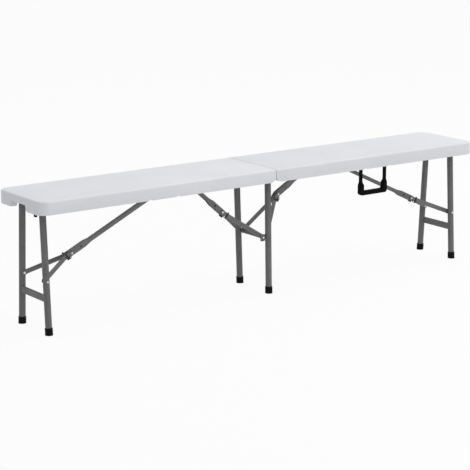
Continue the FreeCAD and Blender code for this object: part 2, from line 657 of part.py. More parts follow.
def end_leg_frame(side):
    """Makes the end leg frame: axle, two tubes, crossbar, brace rivets and feet."""
    bore = "rivet_diameter / 2"
    for place, sign in ((FRONT, "-1"), (BACK, "1")):
        leg_tube(f"{side}_end_leg_{place}", side, END_LEG_X, END_LEG_X, sign, "end_rivet_z", bore)
    axle(f"{side}_end_axle", side, END_LEG_X)
    end_crossbar(side)
    feet(f"{side}_end_feet", side, END_LEG_X, END_LEG_X, ("-1", "1"))
    rivets = []
    point = rivet_point(END_LEG_X, END_LEG_X, "end_rivet_z")
    arm_in = point.y - D.leg_diameter / 2 - D.arm_leg_gap - D.plate
    for sign in ("-1", "1"):
        inner = arm_in - D.pin_clearance
        outer = point.y + D.leg_diameter / 2 + D.rivet_seat
        spans = ((inner - D.rivet_head_height, inner, "rivet_head / 2"), (inner, outer, "rivet_diameter / 2"),
                 (outer, outer + D.rivet_head_height, "rivet_head / 2"))
        parts = [pin_along_y(f"{side}_leg_rivet", radius, END_LEG_X,
                             sorted([f"{sign} * {low}", f"{sign} * {high}"], key=value), "end_rivet_z")
                 for low, high, radius in spans]
        rivets.append(fuse(f"{side}_leg_rivet_whole", parts))
    sub_part(f"{side}_end_leg_rivets", rivets, side)


def mid_leg_places(side):
    """Returns a middle leg's foot place and the height of its brace pivot."""
    foot = f"{side}_mid_foot_x"
    lean = f"sqrt({LEG_PIVOT_Z} ^ 2 + (mid_leg_x - {foot}) ^ 2)"
    return foot, f"({LEG_PIVOT_Z} * (1 - mid_rivet_reach / {lean}))"


def mid_leg_frame(side):
    """Makes the single middle leg of a half with its axle, tie rod with end plate, and foot."""
    foot, rivet_z = mid_leg_places(side)
    leg_tube(f"{side}_mid_leg", side, "mid_leg_x", foot, "-1", rivet_z, "tie_rod_diameter / 2")
    axle(f"{side}_mid_axle", side, "mid_leg_x")
    feet(f"{side}_mid_foot", side, "mid_leg_x", foot, ("-1",))
    point = rivet_point("mid_leg_x", foot, rivet_z)
    name = f"{side}_mid_tie_rod"
    x = str(point.x)
    outer = -(point.y + D.leg_diameter / 2 + D.rivet_seat)
    rod = pin_along_y(f"{name}_rod", "tie_rod_diameter / 2", x, (str(outer), "tab_y + plate"), rivet_z)
    head = pin_along_y(f"{name}_head", "tie_rod_diameter / 2 + 1", x,
                       (str(outer - D.rivet_head_height), str(outer)), rivet_z)
    tab = box(f"{name}_tab", (f"{x} - tab_width / 2 + 4", f"{x} + tab_width / 2 + 4"), ("tab_y", "tab_y + plate"),
              (f"{rivet_z} - tab_height / 2", f"{rivet_z} + tab_height / 2"))
    tail = pin_along_y(f"{name}_tail", "tie_rod_diameter / 2 + 0.5", x,
                       ("tab_y + plate", "tab_y + plate + rivet_head_height"), rivet_z)
    sub_part(name, [fuse(f"{name}_whole", [rod, head, tab, tail])], side)


# Toggle braces.

def brace_line(side, kind):
    """Returns the leg pivot, knee and upper hinge of a brace, its link length and the leg's Y.

    The knees are pressed a little below the straight line, as they lock. Only the right half's
    middle knee stands up as in the photograph: that brace has the left one's arms and link.
    """
    if kind == "end":
        start = rivet_point(END_LEG_X, END_LEG_X, "end_rivet_z")
        anchor, arm, sag = D.end_anchor_x, D.end_arm, D.end_knee_sag
    else:
        start = rivet_point("mid_leg_x", *mid_leg_places(side))
        anchor, arm, sag = D.mid_anchor_x, D.mid_arm, D.mid_knee_sag
    foot = FreeCAD.Vector(start.x, 0, start.z)
    top = FreeCAD.Vector(anchor, 0, value(ANCHOR_Z))
    whole = (top - foot).Length
    level = (top - foot).normalize()
    upward = FreeCAD.Vector(-abs(level.z) * math.copysign(1, level.x), 0, abs(level.x))
    if (side, kind) == (RIGHT, "mid"):
        span = brace_line(LEFT, kind).link
        reach = (arm ** 2 - span ** 2 + whole ** 2) / (2 * whole)
        rise = math.sqrt(arm ** 2 - reach ** 2)
    else:
        reach, rise = math.sqrt(arm ** 2 - sag ** 2), -sag
    knee = foot + level * reach + upward * rise
    return SimpleNamespace(foot=foot, knee=knee, top=top, arm=arm, link=(top - knee).Length, leg_y=start.y)


def brace_placement(origin, target):
    """Returns a placement with local X from origin to target and local Z to the upper side."""
    line = target - origin
    angle = -math.degrees(math.atan2(line.z, line.x))
    turned = FreeCAD.Rotation(FreeCAD.Vector(0, 1, 0), angle)
    if line.x < 0:
        turned = turned * FreeCAD.Rotation(FreeCAD.Vector(1, 0, 0), 180)
    return FreeCAD.Placement(origin, turned)


def arm_sides(kind, brace):
    """Returns the inner face of the front and back arm at their leg end."""
    beside_tube = brace.leg_y - D.leg_diameter / 2 - D.arm_leg_gap - D.plate
    if kind == "end":
        return beside_tube, beside_tube
    return beside_tube, D.tab_y - 1.0 - D.plate


def arm(side, kind, place, brace):
    """Makes one joggled arm strip: parallel at the knee, slanting out, parallel at the leg."""
    # the end brace's frame is turned over, so its local Y points to the front
    sign = "-1" if (place == FRONT) == (kind == "mid") else "1"
    sides = arm_sides(kind, brace)
    leg_y = sides[0] if place == FRONT else sides[1]
    label = f"{side}_{kind}_brace_arm_{place}"
    body = doc.addObject("PartDesign::Body", f"{label}_body")
    half = "arm_width / 2"
    length = str(brace.arm)
    line = [(f"-{half}", leg_y), ("arm_leg_straight - arm_width / 2", leg_y),
            (f"{length} - arm_knee_straight", "arm_knee_y"), (f"{length} + {half}", "arm_knee_y")]
    inner = [(x, f"{sign} * ({y})") for x, y in line]
    outer = [(x, f"{sign} * ({y} + plate)") for x, y in line]
    strip = outline(body, f"{label}_plan", "XY_Plane", inner + outer[::-1])
    pad(body, f"{label}_strip", strip, "arm_width", symmetric=True)
    low, high = -D.arm_width / 2, brace.arm + D.arm_width / 2
    fillet(body, f"{label}_ends", f"{half} - 0.2",
           lambda b: b.YLength > 1 and b.XLength < 1e-3 and (near(b.XMin, low) or near(b.XMin, high)))
    foot_bore = "rivet_diameter / 2" if kind == "end" else "tie_rod_diameter / 2"
    for name, x, radius in (("foot_bore", "0", f"{foot_bore} + running_clearance"),
                            ("knee_bore", length, "rivet_diameter / 2")):
        hole = circles(body, f"{label}_{name}_ring", "XZ_Plane", [(x, "0")], radius)
        pocket(body, f"{label}_{name}", hole, "4 * leg_foot_y", symmetric=True)
    body_part(label, body, half_turn(side) * brace_placement(brace.foot, brace.knee))


def knee_rivets(side, kind, brace):
    """Makes the rivet stubs that fill the arms' knee bores, with their heads outside."""
    made = []
    for sign in ("-1", "1"):
        inner, outer = "arm_knee_y", "(arm_knee_y + plate)"
        parts = []
        for low, high, radius in ((inner, outer, "rivet_diameter / 2"),
                                  (outer, f"{outer} + rivet_head_height", "rivet_head / 2")):
            span = sorted([f"{sign} * {low}", f"{sign} * ({high})"], key=value)
            parts.append(pin_along_y(f"{side}_{kind}_knee_rivet", radius, str(brace.knee.x), span,
                                     str(brace.knee.z)))
        made.append(fuse(f"{side}_{kind}_knee_rivet_whole", parts))
    sub_part(f"{side}_{kind}_knee_rivets", made, side)


def link(side, kind, brace):
    """Makes the upper link: a channel, open below, that is deeper near the knee."""
    label = f"{side}_{kind}_brace_link"
    body = doc.addObject("PartDesign::Body", f"{label}_body")
    length = str(brace.link)
    slim, deep = "link_slim / 2", "link_deep / 2"
    flare = [("-link_slim / 2", slim), (f"{length} - link_flare_start", slim),
             (f"{length} - link_flare_end", deep), (f"{length} + link_nose", deep)]
    upper = [(x, z) for x, z in flare]
    lower = [(x, f"-{z}") for x, z in flare]
    side_view = outline(body, f"{label}_side", "XZ_Plane", upper + lower[::-1])
    pad(body, f"{label}_blank", side_view, "link_width", symmetric=True)
    low, high = value("-link_slim / 2"), brace.link + D.link_nose
    fillet(body, f"{label}_foot_end", "link_slim / 2 - 0.4",
           lambda b: b.YLength > 1 and near(b.XMin, low) and near(b.XMax, low))
    fillet(body, f"{label}_knee_end", "link_nose - 1",
           lambda b: b.YLength > 1 and near(b.XMin, high) and near(b.XMax, high))
    trough = [(x, f"{z} - link_wall") for x, z in flare] + [(f"{length} + link_nose + 1", "-link_deep"),
                                                            ("-link_slim", "-link_deep")]
    trough[0] = ("-link_slim", "link_slim / 2 - link_wall")
    trough[3] = (f"{length} + link_nose + 1", "link_deep / 2 - link_wall")
    pocket(body, f"{label}_trough", outline(body, f"{label}_trough_side", "XZ_Plane", trough),
           "link_width - 2 * link_wall", symmetric=True)
    for name, x, radius in (("pin_bore", "0", "rivet_diameter / 2 + running_clearance"),
                            ("knee_bore", length, "rivet_diameter / 2"),
                            ("hole", f"{length} - link_hole_back", "link_hole / 2")):
        ring = circles(body, f"{label}_{name}_ring", "XZ_Plane", [(x, "0")], radius)
        pocket(body, f"{label}_{name}", ring, "2 * link_width", symmetric=True)
    body_part(label, body, half_turn(side) * brace_placement(brace.top, brace.knee))


def lock_plates(side, kind, brace):
    """Makes the pair of lock plates on the outer faces of the arms, each with a riveted ear below."""
    label = f"{side}_{kind}_lock_plates"
    start = f"({brace.arm} - lock_back)"
    rivet_x = f"({brace.arm} - lock_rivet_back)"
    made = []
    for sign in ("-1", "1"):
        faces = ["(arm_knee_y + plate)", "(arm_knee_y + plate + lock_plate)"]
        flat = sorted([f"{sign} * {face}" for face in faces], key=value)
        strip = box(f"{label}_strip", (start, f"{start} + lock_length"), flat, ("-lock_low", "lock_high"))
        ear = box(f"{label}_ear", (start, f"{rivet_x} + lock_ear / 2"), flat, ("-lock_low", "lock_ear - lock_low"))
        proud = sorted([f"{sign} * {faces[1]}", f"{sign} * ({faces[1]} + rivet_head_height)"], key=value)
        head = pin_along_y(f"{label}_rivet", "lock_rivet / 2", rivet_x, proud, "lock_ear / 2 - lock_low")
        made.append(fuse(f"{label}_plate", [strip, ear, head]))
    sub_part(label, made).Placement = half_turn(side) * brace_placement(brace.foot, brace.knee)


def brace(side, kind):
    """Makes one toggle brace: two arms, knee rivets, lock plates and upper link."""
    line = brace_line(side, kind)
    for place in (FRONT, BACK):
        arm(side, kind, place, line)
    knee_rivets(side, kind, line)
    lock_plates(side, kind, line)
    link(side, kind, line)


def brace_brackets(side):
    """Makes the two clevis brackets that hang the upper links from the groove."""
    made = []
    name = f"{side}_brace_bracket"
    inner_y = "(link_width / 2 + bracket_ear_gap)"
    outer_y = f"({inner_y} + bracket_plate)"
    for anchor in ("mid_anchor_x", "end_anchor_x"):
        base = box(f"{name}_base", (f"{anchor} - bracket_length / 2", f"{anchor} + bracket_length / 2"),
                   ("-bracket_width / 2", "bracket_width / 2"), (f"{GROOVE_Z} - bracket_plate", GROOVE_Z))
        ears = [box(f"{name}_ear", (f"{anchor} - bracket_ear / 2", f"{anchor} + bracket_ear / 2"),
                    sorted([f"{sign} * {inner_y}", f"{sign} * {outer_y}"], key=value),
                    (f"{ANCHOR_Z} - rivet_diameter", GROOVE_Z)) for sign in ("-1", "1")]
        reach = f"({outer_y} + 1)"
        bore = pin_along_y(f"{name}_bore", "rivet_diameter / 2", anchor, (f"-{reach}", reach), ANCHOR_Z)
        holes = [pin_along_z(f"{name}_screw_hole", "screw_diameter / 2", x, y,
                             (f"{GROOVE_Z} - bracket_plate - 1", f"{GROOVE_Z} + 1"))
                 for x, y in bracket_screw_places(anchor)]
        made.append(cut(f"{name}_whole", fuse(f"{name}_blank", [base] + ears), [bore] + holes))
    sub_part(f"{side}_brace_brackets", made, side)
    pins = []
    for anchor in ("mid_anchor_x", "end_anchor_x"):
        shank = pin_along_y(f"{name}_pin", "rivet_diameter / 2", anchor, (f"-{outer_y}", outer_y), ANCHOR_Z)
        heads = [pin_along_y(f"{name}_pin_head", "rivet_head / 2 - 1", anchor,
                             sorted([f"{sign} * {outer_y}", f"{sign} * ({outer_y} + rivet_head_height)"], key=value),
                             ANCHOR_Z) for sign in ("-1", "1")]
        pins.append(fuse(f"{name}_pin_whole", [shank] + heads))
    sub_part(f"{side}_brace_pins", pins, side)


# Handle and hook.

def handle():
    """Makes the black carrying handle that hangs from the front rail of the right half."""
    body = doc.addObject("PartDesign::Body", "carry_handle_body")
    pivot_z = FOLD_Z
    out_x = "(handle_arms / 2 + handle_arm_width / 2)"
    in_x = "(handle_arms / 2 - handle_arm_width / 2)"
    eye = "(handle_arm_thickness / 2)"
    low_z = f"({pivot_z} - handle_drop)"
    points = [(f"handle_x - {out_x}", f"{pivot_z} + {eye}"), (f"handle_x - {out_x}", low_z),
              (f"handle_x + {out_x}", low_z), (f"handle_x + {out_x}", f"{pivot_z} + {eye}"),
              (f"handle_x + {in_x}", f"{pivot_z} + {eye}"), (f"handle_x + {in_x}", f"{low_z} + handle_grip_height"),
              (f"handle_x - {in_x}", f"{low_z} + handle_grip_height"), (f"handle_x - {in_x}", f"{pivot_z} + {eye}")]
    strap = outline(body, "handle_strap_side", "XZ_Plane", points)
    pad(body, "handle_strap", strap, "handle_arm_thickness", symmetric=True)
    wide_in = f"({out_x} - handle_corner_width)"
    corner_z = f"({pivot_z} - handle_corner_drop)"
    grip = [(f"handle_x - {out_x}", corner_z), (f"handle_x - {out_x}", low_z), (f"handle_x + {out_x}", low_z),
            (f"handle_x + {out_x}", corner_z), (f"handle_x + {wide_in}", f"{corner_z} - handle_corner_width / 2"),
            (f"handle_x + {wide_in}", f"{low_z} + handle_grip_height"),
            (f"handle_x - {wide_in}", f"{low_z} + handle_grip_height"),
            (f"handle_x - {wide_in}", f"{corner_z} - handle_corner_width / 2")]
    pad(body, "handle_grip", outline(body, "handle_grip_side", "XZ_Plane", grip), "handle_grip_depth",
        symmetric=True)
    low = value(low_z)
    fillet(body, "handle_corners", "handle_corner_radius",
           lambda b: near(b.ZMax, low) and b.XLength < 1e-3 and b.YLength > 1)
    floor = value(f"{low_z} + handle_grip_height")
    fillet(body, "handle_inner_corners", "handle_inner_radius",
           lambda b: near(b.ZMin, floor) and near(b.ZMax, floor) and b.XLength < 1e-3 and b.YLength > 1)
    top = value(f"{pivot_z} + {eye}")
    fillet(body, "handle_eyes", f"{eye} - 0.1", lambda b: near(b.ZMin, top) and b.YLength < 1e-3)
    depth = D.handle_grip_depth / 2
    fillet(body, "handle_grip_edges", "handle_grip_height / 4",
           lambda b: near(abs(b.YMin), depth) and b.YLength < 1e-3 and b.XLength > D.handle_arms / 2)
    hole = circles(body, "handle_pivot_ring", "YZ_Plane", [("0", pivot_z)], "handle_pin_diameter / 2 + running_clearance",
                   f"handle_x + {out_x} + 1")
    pocket(body, "handle_pivot", hole, "2 * handle_arms")
    hung = FreeCAD.Placement(FreeCAD.Vector(0, value(f"-{RAIL_MID_Y}"), 0), FreeCAD.Rotation())
    body_part("carry_handle", body, hung)


def handle_brackets():
    """Makes the lugs that carry the handle under the front rail, and their pins."""
    lugs, pins = [], []
    y = (f"-{RAIL_MID_Y} - rail_width / 2 + 0.5", f"-{RAIL_MID_Y} + rail_width / 2 - 0.5")
    for step in ("-1", "1"):
        centre = f"(handle_x + {step} * handle_arms / 2)"
        inner = "(handle_arm_width / 2 + handle_lug_gap)"
        outer = f"({inner} + handle_lug)"
        roof = box("handle_bracket_roof", (f"{centre} - {outer}", f"{centre} + {outer}"), y,
                   (f"{RAIL_Z} - 1.2", RAIL_Z))
        sides = [box("handle_bracket_lug", sorted([f"{centre} + {sign} * {inner}", f"{centre} + {sign} * {outer}"],
                                                  key=value), y,
                     (f"{FOLD_Z} - handle_pin_diameter / 2 - 2.6", RAIL_Z)) for sign in ("-1", "1")]
        reach = (f"{centre} - {outer}", f"{centre} + {outer}")
        bore = pin_along_x("handle_bracket_bore", "handle_pin_diameter / 2", reach, f"-{RAIL_MID_Y}", FOLD_Z)
        lugs.append(cut("handle_bracket", fuse("handle_bracket_blank", [roof] + sides), [bore]))
        pins.append(pin_along_x("handle_pin", "handle_pin_diameter / 2", reach, f"-{RAIL_MID_Y}", FOLD_Z))
    sub_part("handle_brackets", lugs)
    sub_part("handle_pins", pins)


HOOK_X = f"({HALF_LENGTH} - hook_inset)"


def hook():
    """Makes the closing hook at the left end and the pin that carries it from a block."""
    name = "closing_hook"
    # drawn on the right and turned to the left half, so the front is at positive Y here
    x = (f"{HOOK_X} - hook_thickness / 2", f"{HOOK_X} + hook_thickness / 2")
    strap = box(f"{name}_strap", x, ("hook_y - hook_width / 2", "hook_y + hook_width / 2"),
                (f"{HOOK_Z} - hook_length", HOOK_Z))
    eye = pin_along_x(f"{name}_eye", "hook_width / 2", x, "hook_y", HOOK_Z)
    barb = box(f"{name}_barb", x, ("hook_y + hook_width / 2 - 1", "hook_y + hook_width"),
               (f"{HOOK_Z} - hook_length", f"{HOOK_Z} - hook_length + hook_width * 0.7"))
    bore = pin_along_x(f"{name}_bore", "hook_pin_diameter / 2 + running_clearance",
                       (f"{x[0]} - 1", f"{x[1]} + 1"), "hook_y", HOOK_Z)
    sub_part(name, [cut(f"{name}_whole", fuse(f"{name}_blank", [strap, eye, barb]), [bore])], LEFT)
    pin = pin_along_x(f"{name}_pin", "hook_pin_diameter / 2", (f"{x[0]} - pin_clearance", END_WALL_X), "hook_y",
                      HOOK_Z)
    collar = pin_along_x(f"{name}_collar", "hook_pin_diameter / 2 + 2", (f"{x[1]} + pin_clearance", END_WALL_X),
                         "hook_y", HOOK_Z)
    head = pin_along_x(f"{name}_pin_head", "hook_pin_diameter / 2 + 1.5",
                       (f"{x[0]} - pin_clearance - 1.5", f"{x[0]} - pin_clearance"), "hook_y", HOOK_Z)
    sub_part("hook_pin", [fuse("hook_pin_whole", [pin, collar, head])], LEFT)


def write_steps():
    """Checks every object, then writes one STEP file for each sub-part."""
    doc.recompute()
    for item in doc.Objects:
        assert not {"Invalid", "Error"} & set(item.State), f"{item.Label} failed: {item.State}"
    for node in nodes:
        assert not node.Shape.isNull() and node.Shape.isValid(), f"{node.Label} has no valid shape"
    os.makedirs("parts", exist_ok=True)
    for node in nodes:
        node.Shape.exportStep(f"parts/{node.Label}.step")
        print(node.Label, len(node.Shape.Solids), round(node.Shape.Volume))


for half in (RIGHT, LEFT):
    seat_panel(half)
    for rail_place in (FRONT, BACK):
        rail(half, rail_place)
    screws(half)
    hinge_plates(half)
    end_leg_frame(half)
    mid_leg_frame(half)
    brace_brackets(half)
    for brace_kind in ("end", "mid"):
        brace(half, brace_kind)
hinge_pins()
handle()
handle_brackets()
hook()
write_steps()
for brace_kind in ("end", "mid"):
    made_line = brace_line(LEFT, brace_kind)
    print(brace_kind, "brace", made_line)
print(len(nodes), "sub-parts")
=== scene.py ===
"""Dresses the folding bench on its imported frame: moulded seat, steel legs, braces and handle.

Sizes are in metres, in the frame of the CAD: X along the bench, Y to the back, Z up. The right
half lies at positive X. The left half is the same turned half a turn about Z.
"""

from __future__ import annotations

import json
import logging
import math
from collections.abc import Callable, Sequence
from dataclasses import dataclass, field
from enum import Enum

import bmesh
import bpy
from mathutils import Matrix, Vector

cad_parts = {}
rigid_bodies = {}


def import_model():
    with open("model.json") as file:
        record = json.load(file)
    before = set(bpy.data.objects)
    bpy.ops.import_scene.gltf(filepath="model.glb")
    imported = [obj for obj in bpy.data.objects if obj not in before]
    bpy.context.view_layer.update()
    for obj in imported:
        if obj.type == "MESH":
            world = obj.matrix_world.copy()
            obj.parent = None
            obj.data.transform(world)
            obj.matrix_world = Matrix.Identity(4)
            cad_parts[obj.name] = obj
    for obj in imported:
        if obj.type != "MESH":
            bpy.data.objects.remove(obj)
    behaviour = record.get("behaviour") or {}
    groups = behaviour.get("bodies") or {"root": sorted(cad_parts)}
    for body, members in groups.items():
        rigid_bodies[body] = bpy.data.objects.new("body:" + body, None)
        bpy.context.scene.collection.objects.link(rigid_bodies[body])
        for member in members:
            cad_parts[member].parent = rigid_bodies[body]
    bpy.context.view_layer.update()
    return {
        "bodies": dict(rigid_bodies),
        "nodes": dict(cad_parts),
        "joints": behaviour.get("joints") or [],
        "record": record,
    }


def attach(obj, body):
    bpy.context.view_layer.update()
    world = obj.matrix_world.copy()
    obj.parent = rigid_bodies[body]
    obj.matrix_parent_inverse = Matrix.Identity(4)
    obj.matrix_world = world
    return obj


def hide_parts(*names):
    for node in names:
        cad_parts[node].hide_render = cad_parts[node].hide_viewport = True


LOG = logging.getLogger("bench")
Piece = bpy.types.Object
Triple = tuple[float, float, float]
HALF_TURN = Matrix.Rotation(math.pi, 4, "Z")
UPWARD = Vector((0.0, 0.0, 1.0))
BACKWARD = Vector((0.0, 1.0, 0.0))
SIGNS = (-1.0, 1.0)
FACING = 0.9  # least share of a face's normal along the axis it faces
OVERLAP = 0.01  # how far a cutting tool reaches past a surface
SHANK = 0.003  # radius of rivet shanks and of their holes
BRIGHT_HEAD = (0.0041, 0.0021)  # radius and height of a rivet head


class Side(Enum):
    """The two halves of the bench."""

    RIGHT = "right"
    LEFT = "left"


class Kind(Enum):
    """The two braces of a half."""

    END = "end"
    MID = "mid"


class Part(Enum):
    """What can be picked in edit mode."""

    FACE = "FACE"
    EDGE = "EDGE"


class Pattern(Enum):
    """How the colour of a finish varies over its surface."""

    MOTTLED = "mottled"
    BRUSHED = "brushed"


# Finishes

COLOUR_STOPS = (0.36, 0.64)
SHEEN_STOPS = (0.3, 0.7)
CLOUD_DETAIL = 4.0
GRAIN_DETAIL = 3.0
GRAIN_STRENGTH = 0.6
BRUSH_STRETCH = (1.0, 9.0, 1.0)


@dataclass(frozen=True)
class Finish:
    """One finish of the bench, built from nodes."""

    name: str
    slot: str
    light: Triple
    dark: Triple
    roughness: tuple[float, float]
    grain_scale: float
    grain_height: float
    cloud_scale: float = 14.0
    metallic: float = 0.0
    specular: float = 0.5
    pattern: Pattern = Pattern.MOTTLED

    def material(self) -> bpy.types.Material:
        """Builds the finish's material, once.

        Returns:
            The material, with grain and with varied colour and roughness.
        """
        known = bpy.data.materials.get(self.name)
        if known is not None:
            return known
        made = bpy.data.materials.new(self.name)
        made.use_nodes = True
        tree = made.node_tree
        shader = tree.nodes["Principled BSDF"]
        shader.inputs["Metallic"].default_value = self.metallic
        shader.inputs["Specular IOR Level"].default_value = self.specular
        place = tree.nodes.new("ShaderNodeTexCoord")
        stretch = tree.nodes.new("ShaderNodeMapping")
        if self.pattern is Pattern.BRUSHED:
            stretch.inputs["Scale"].default_value = BRUSH_STRETCH
        tree.links.new(place.outputs["Object"], stretch.inputs["Vector"])
        cloud, fine = (tree.nodes.new("ShaderNodeTexNoise") for _ in range(2))
        for noise, scale, detail in ((cloud, self.cloud_scale, CLOUD_DETAIL),
                                     (fine, self.grain_scale, GRAIN_DETAIL)):
            noise.inputs["Scale"].default_value = scale
            noise.inputs["Detail"].default_value = detail
            tree.links.new(stretch.outputs["Vector"], noise.inputs["Vector"])
        ramp = tree.nodes.new("ShaderNodeValToRGB")
        for stop, position, colour in zip(ramp.color_ramp.elements, COLOUR_STOPS, (self.dark, self.light)):
            stop.position = position
            stop.color = (*colour, 1.0)
        tree.links.new(cloud.outputs["Fac"], ramp.inputs["Fac"])
        tree.links.new(ramp.outputs["Color"], shader.inputs["Base Color"])
        sheen = tree.nodes.new("ShaderNodeMapRange")
        for end, stop, rough in zip(("Min", "Max"), SHEEN_STOPS, self.roughness):
            sheen.inputs[f"From {end}"].default_value = stop
            sheen.inputs[f"To {end}"].default_value = rough
        tree.links.new(fine.outputs["Fac"], sheen.inputs["Value"])
        tree.links.new(sheen.outputs["Result"], shader.inputs["Roughness"])
        bump = tree.nodes.new("ShaderNodeBump")
        bump.inputs["Strength"].default_value = GRAIN_STRENGTH
        bump.inputs["Distance"].default_value = self.grain_height
        tree.links.new(fine.outputs["Fac"], bump.inputs["Height"])
        tree.links.new(bump.outputs["Normal"], shader.inputs["Normal"])
        return made


SEAT_PLASTIC = Finish("white_blow_moulding", "seat_plastic", (0.795, 0.800, 0.825), (0.760, 0.765, 0.790),
                      (0.42, 0.56), 620.0, 0.00035, cloud_scale=5.0)
LEG_STEEL = Finish("grey_powder_coat", "leg_steel", (0.155, 0.154, 0.154), (0.128, 0.128, 0.128),
                   (0.40, 0.56), 1500.0, 0.0001, specular=0.4)
BRACE_STEEL = Finish("light_grey_powder_coat", "brace_steel", (0.178, 0.177, 0.177), (0.140, 0.140, 0.140),
                     (0.38, 0.54), 1500.0, 0.0001, specular=0.4)
DARK_STEEL = Finish("dark_powder_coat", "dark_steel", (0.040, 0.040, 0.040), (0.028, 0.028, 0.028),
                    (0.42, 0.56), 1400.0, 0.0001, specular=0.3)
ZINC_STEEL = Finish("zinc_plate", "zinc_steel", (0.74, 0.74, 0.74), (0.56, 0.56, 0.57),
                    (0.34, 0.50), 900.0, 0.00004, metallic=1.0, pattern=Pattern.BRUSHED)
RUBBER = Finish("black_rubber", "rubber", (0.0055, 0.0055, 0.0055), (0.0035, 0.0035, 0.0035),
                (0.66, 0.84), 1300.0, 0.00015, specular=0.12)
BLACK_PLASTIC = Finish("black_moulding", "black_plastic", (0.0060, 0.0060, 0.0060), (0.0035, 0.0035, 0.0035),
                       (0.46, 0.62), 1100.0, 0.00012, specular=0.03)


# Tools of the bench maker


def leave_edit() -> None:
    """Goes back to object mode."""
    bpy.ops.object.mode_set(mode="OBJECT")


def clear_selection() -> None:
    """Leaves edit mode and deselects everything."""
    if bpy.context.mode != "OBJECT":
        leave_edit()
    bpy.ops.object.select_all(action="DESELECT")


def take(piece: Piece) -> None:
    """Makes a piece the only selected and the active one.

    Args:
        piece: The piece.
    """
    clear_selection()
    piece.select_set(True)
    bpy.context.view_layer.objects.active = piece


def edit_all(piece: Piece) -> None:
    """Opens a piece in edit mode with all of it selected.

    Args:
        piece: The piece.
    """
    take(piece)
    bpy.ops.object.mode_set(mode="EDIT")
    bpy.ops.mesh.select_all(action="SELECT")


def extrude(move: Sequence[float]) -> None:
    """Extrudes the selection in edit mode and moves what is new."""
    bpy.ops.mesh.extrude_region_move(TRANSFORM_OT_translate={"value": move})


def settle(piece: Piece, name: str) -> Piece:
    """Names a new primitive and puts its place in its mesh.

    Args:
        piece: The primitive just added.
        name: Its name.

    Returns:
        The same piece.
    """
    piece.name = name
    piece.data.name = name
    take(piece)
    bpy.ops.object.transform_apply()
    return piece


def block(name: str, low: Sequence[float], high: Sequence[float]) -> Piece:
    """Starts a piece as a block between two corners.

    Args:
        name: Its name.
        low: The lowest corner.
        high: The highest corner.

    Returns:
        The piece.
    """
    clear_selection()
    bpy.ops.mesh.primitive_cube_add(size=1.0, location=(Vector(low) + Vector(high)) / 2)
    made = bpy.context.object
    made.scale = Vector(high) - Vector(low)
    return settle(made, name)


def turning(name: str, start: Vector, axis: Vector, profile: Sequence[tuple[float, float]],
            vertices: int) -> Piece:
    """Turns a piece about an axis: a disc that is extruded and scaled from ring to ring.

    Args:
        name: Its name.
        start: The point on the axis from which heights are counted.
        axis: The direction of the axis.
        profile: Pairs of height and radius, in order.
        vertices: How many sides the rings have.

    Returns:
        The piece.
    """
    way = axis.normalized()
    clear_selection()
    height, radius = profile[0]
    bpy.ops.mesh.primitive_circle_add(vertices=vertices, radius=radius, fill_type="NGON",
                                      location=start + way * height,
                                      rotation=way.to_track_quat("Z", "Y").to_euler())
    made = settle(bpy.context.object, name)
    edit_all(made)
    for next_height, next_radius in profile[1:]:
        extrude(way * (next_height - height))
        scale = next_radius / radius
        if abs(scale - 1.0) > 1e-6:
            bpy.ops.transform.resize(value=(scale, scale, scale), center_override=start + way * next_height)
        height, radius = next_height, next_radius
    recalculate(made)
    return made


def recalculate(piece: Piece) -> None:
    """Merges doubles and turns a piece's faces outwards.

    Args:
        piece: The piece.
    """
    edit_all(piece)
    bpy.ops.mesh.remove_doubles(threshold=0.00001)
    bpy.ops.mesh.normals_make_consistent(inside=False)
    leave_edit()


def pick(piece: Piece, kind: Part, wanted: Callable[..., bool]) -> None:
    """Opens a piece in edit mode with some of its faces or edges selected.

    Args:
        piece: The piece.
        kind: What is picked.
        wanted: The test, given a face or an edge.
    """
    take(piece)
    bpy.ops.object.mode_set(mode="EDIT")
    bpy.ops.mesh.select_mode(type=kind.value)
    bpy.ops.mesh.select_all(action="DESELECT")
    mesh = bmesh.from_edit_mesh(piece.data)
    found = [part for part in (mesh.faces if kind is Part.FACE else mesh.edges) if wanted(part)]
    for part in found:
        part.select_set(True)
    bmesh.update_edit_mesh(piece.data)
    if not found:
        raise ValueError(f"{piece.name} has no such {kind.value.lower()}")


def pull(piece: Piece, move: Sequence[float], wanted: Callable[[bmesh.types.BMFace], bool]) -> None:
    """Extrudes some faces of a piece.

    Args:
        piece: The piece.
        move: How far the new faces go.
        wanted: The test, given a face.
    """
    pick(piece, Part.FACE, wanted)
    extrude(move)
    leave_edit()


def round_edges(piece: Piece, width: float, segments: int, wanted: Callable[[Vector, Vector], bool]) -> None:
    """Bevels some edges of a piece.

    Args:
        piece: The piece.
        width: The width of the bevel.
        segments: Its segments.
        wanted: The test, given an edge's two ends.
    """
    pick(piece, Part.EDGE, lambda edge: wanted(edge.verts[0].co, edge.verts[1].co))
    bpy.ops.mesh.bevel(offset=width, segments=segments, profile=0.5, affect="EDGES", clamp_overlap=True)
    leave_edit()


def same(first: float, second: float) -> bool:
    """Tells whether two lengths agree to a hundredth of a millimetre."""
    return abs(first - second) < 1e-5


def both(first: float, second: float, value: float) -> bool:
    """Tells whether both ends of an edge are at one value."""
    return same(first, value) and same(second, value)


def carve(piece: Piece, tool: Piece) -> None:
    """Cuts a tool's shape out of a piece and removes the tool.

    Args:
        piece: The piece.
        tool: The tool.
    """
    take(piece)
    cut = piece.modifiers.new("carve", "BOOLEAN")
    cut.operation = "DIFFERENCE"
    cut.solver = "EXACT"
    cut.object = tool
    bpy.ops.object.modifier_apply(modifier=cut.name)
    bpy.data.objects.remove(tool, do_unlink=True)


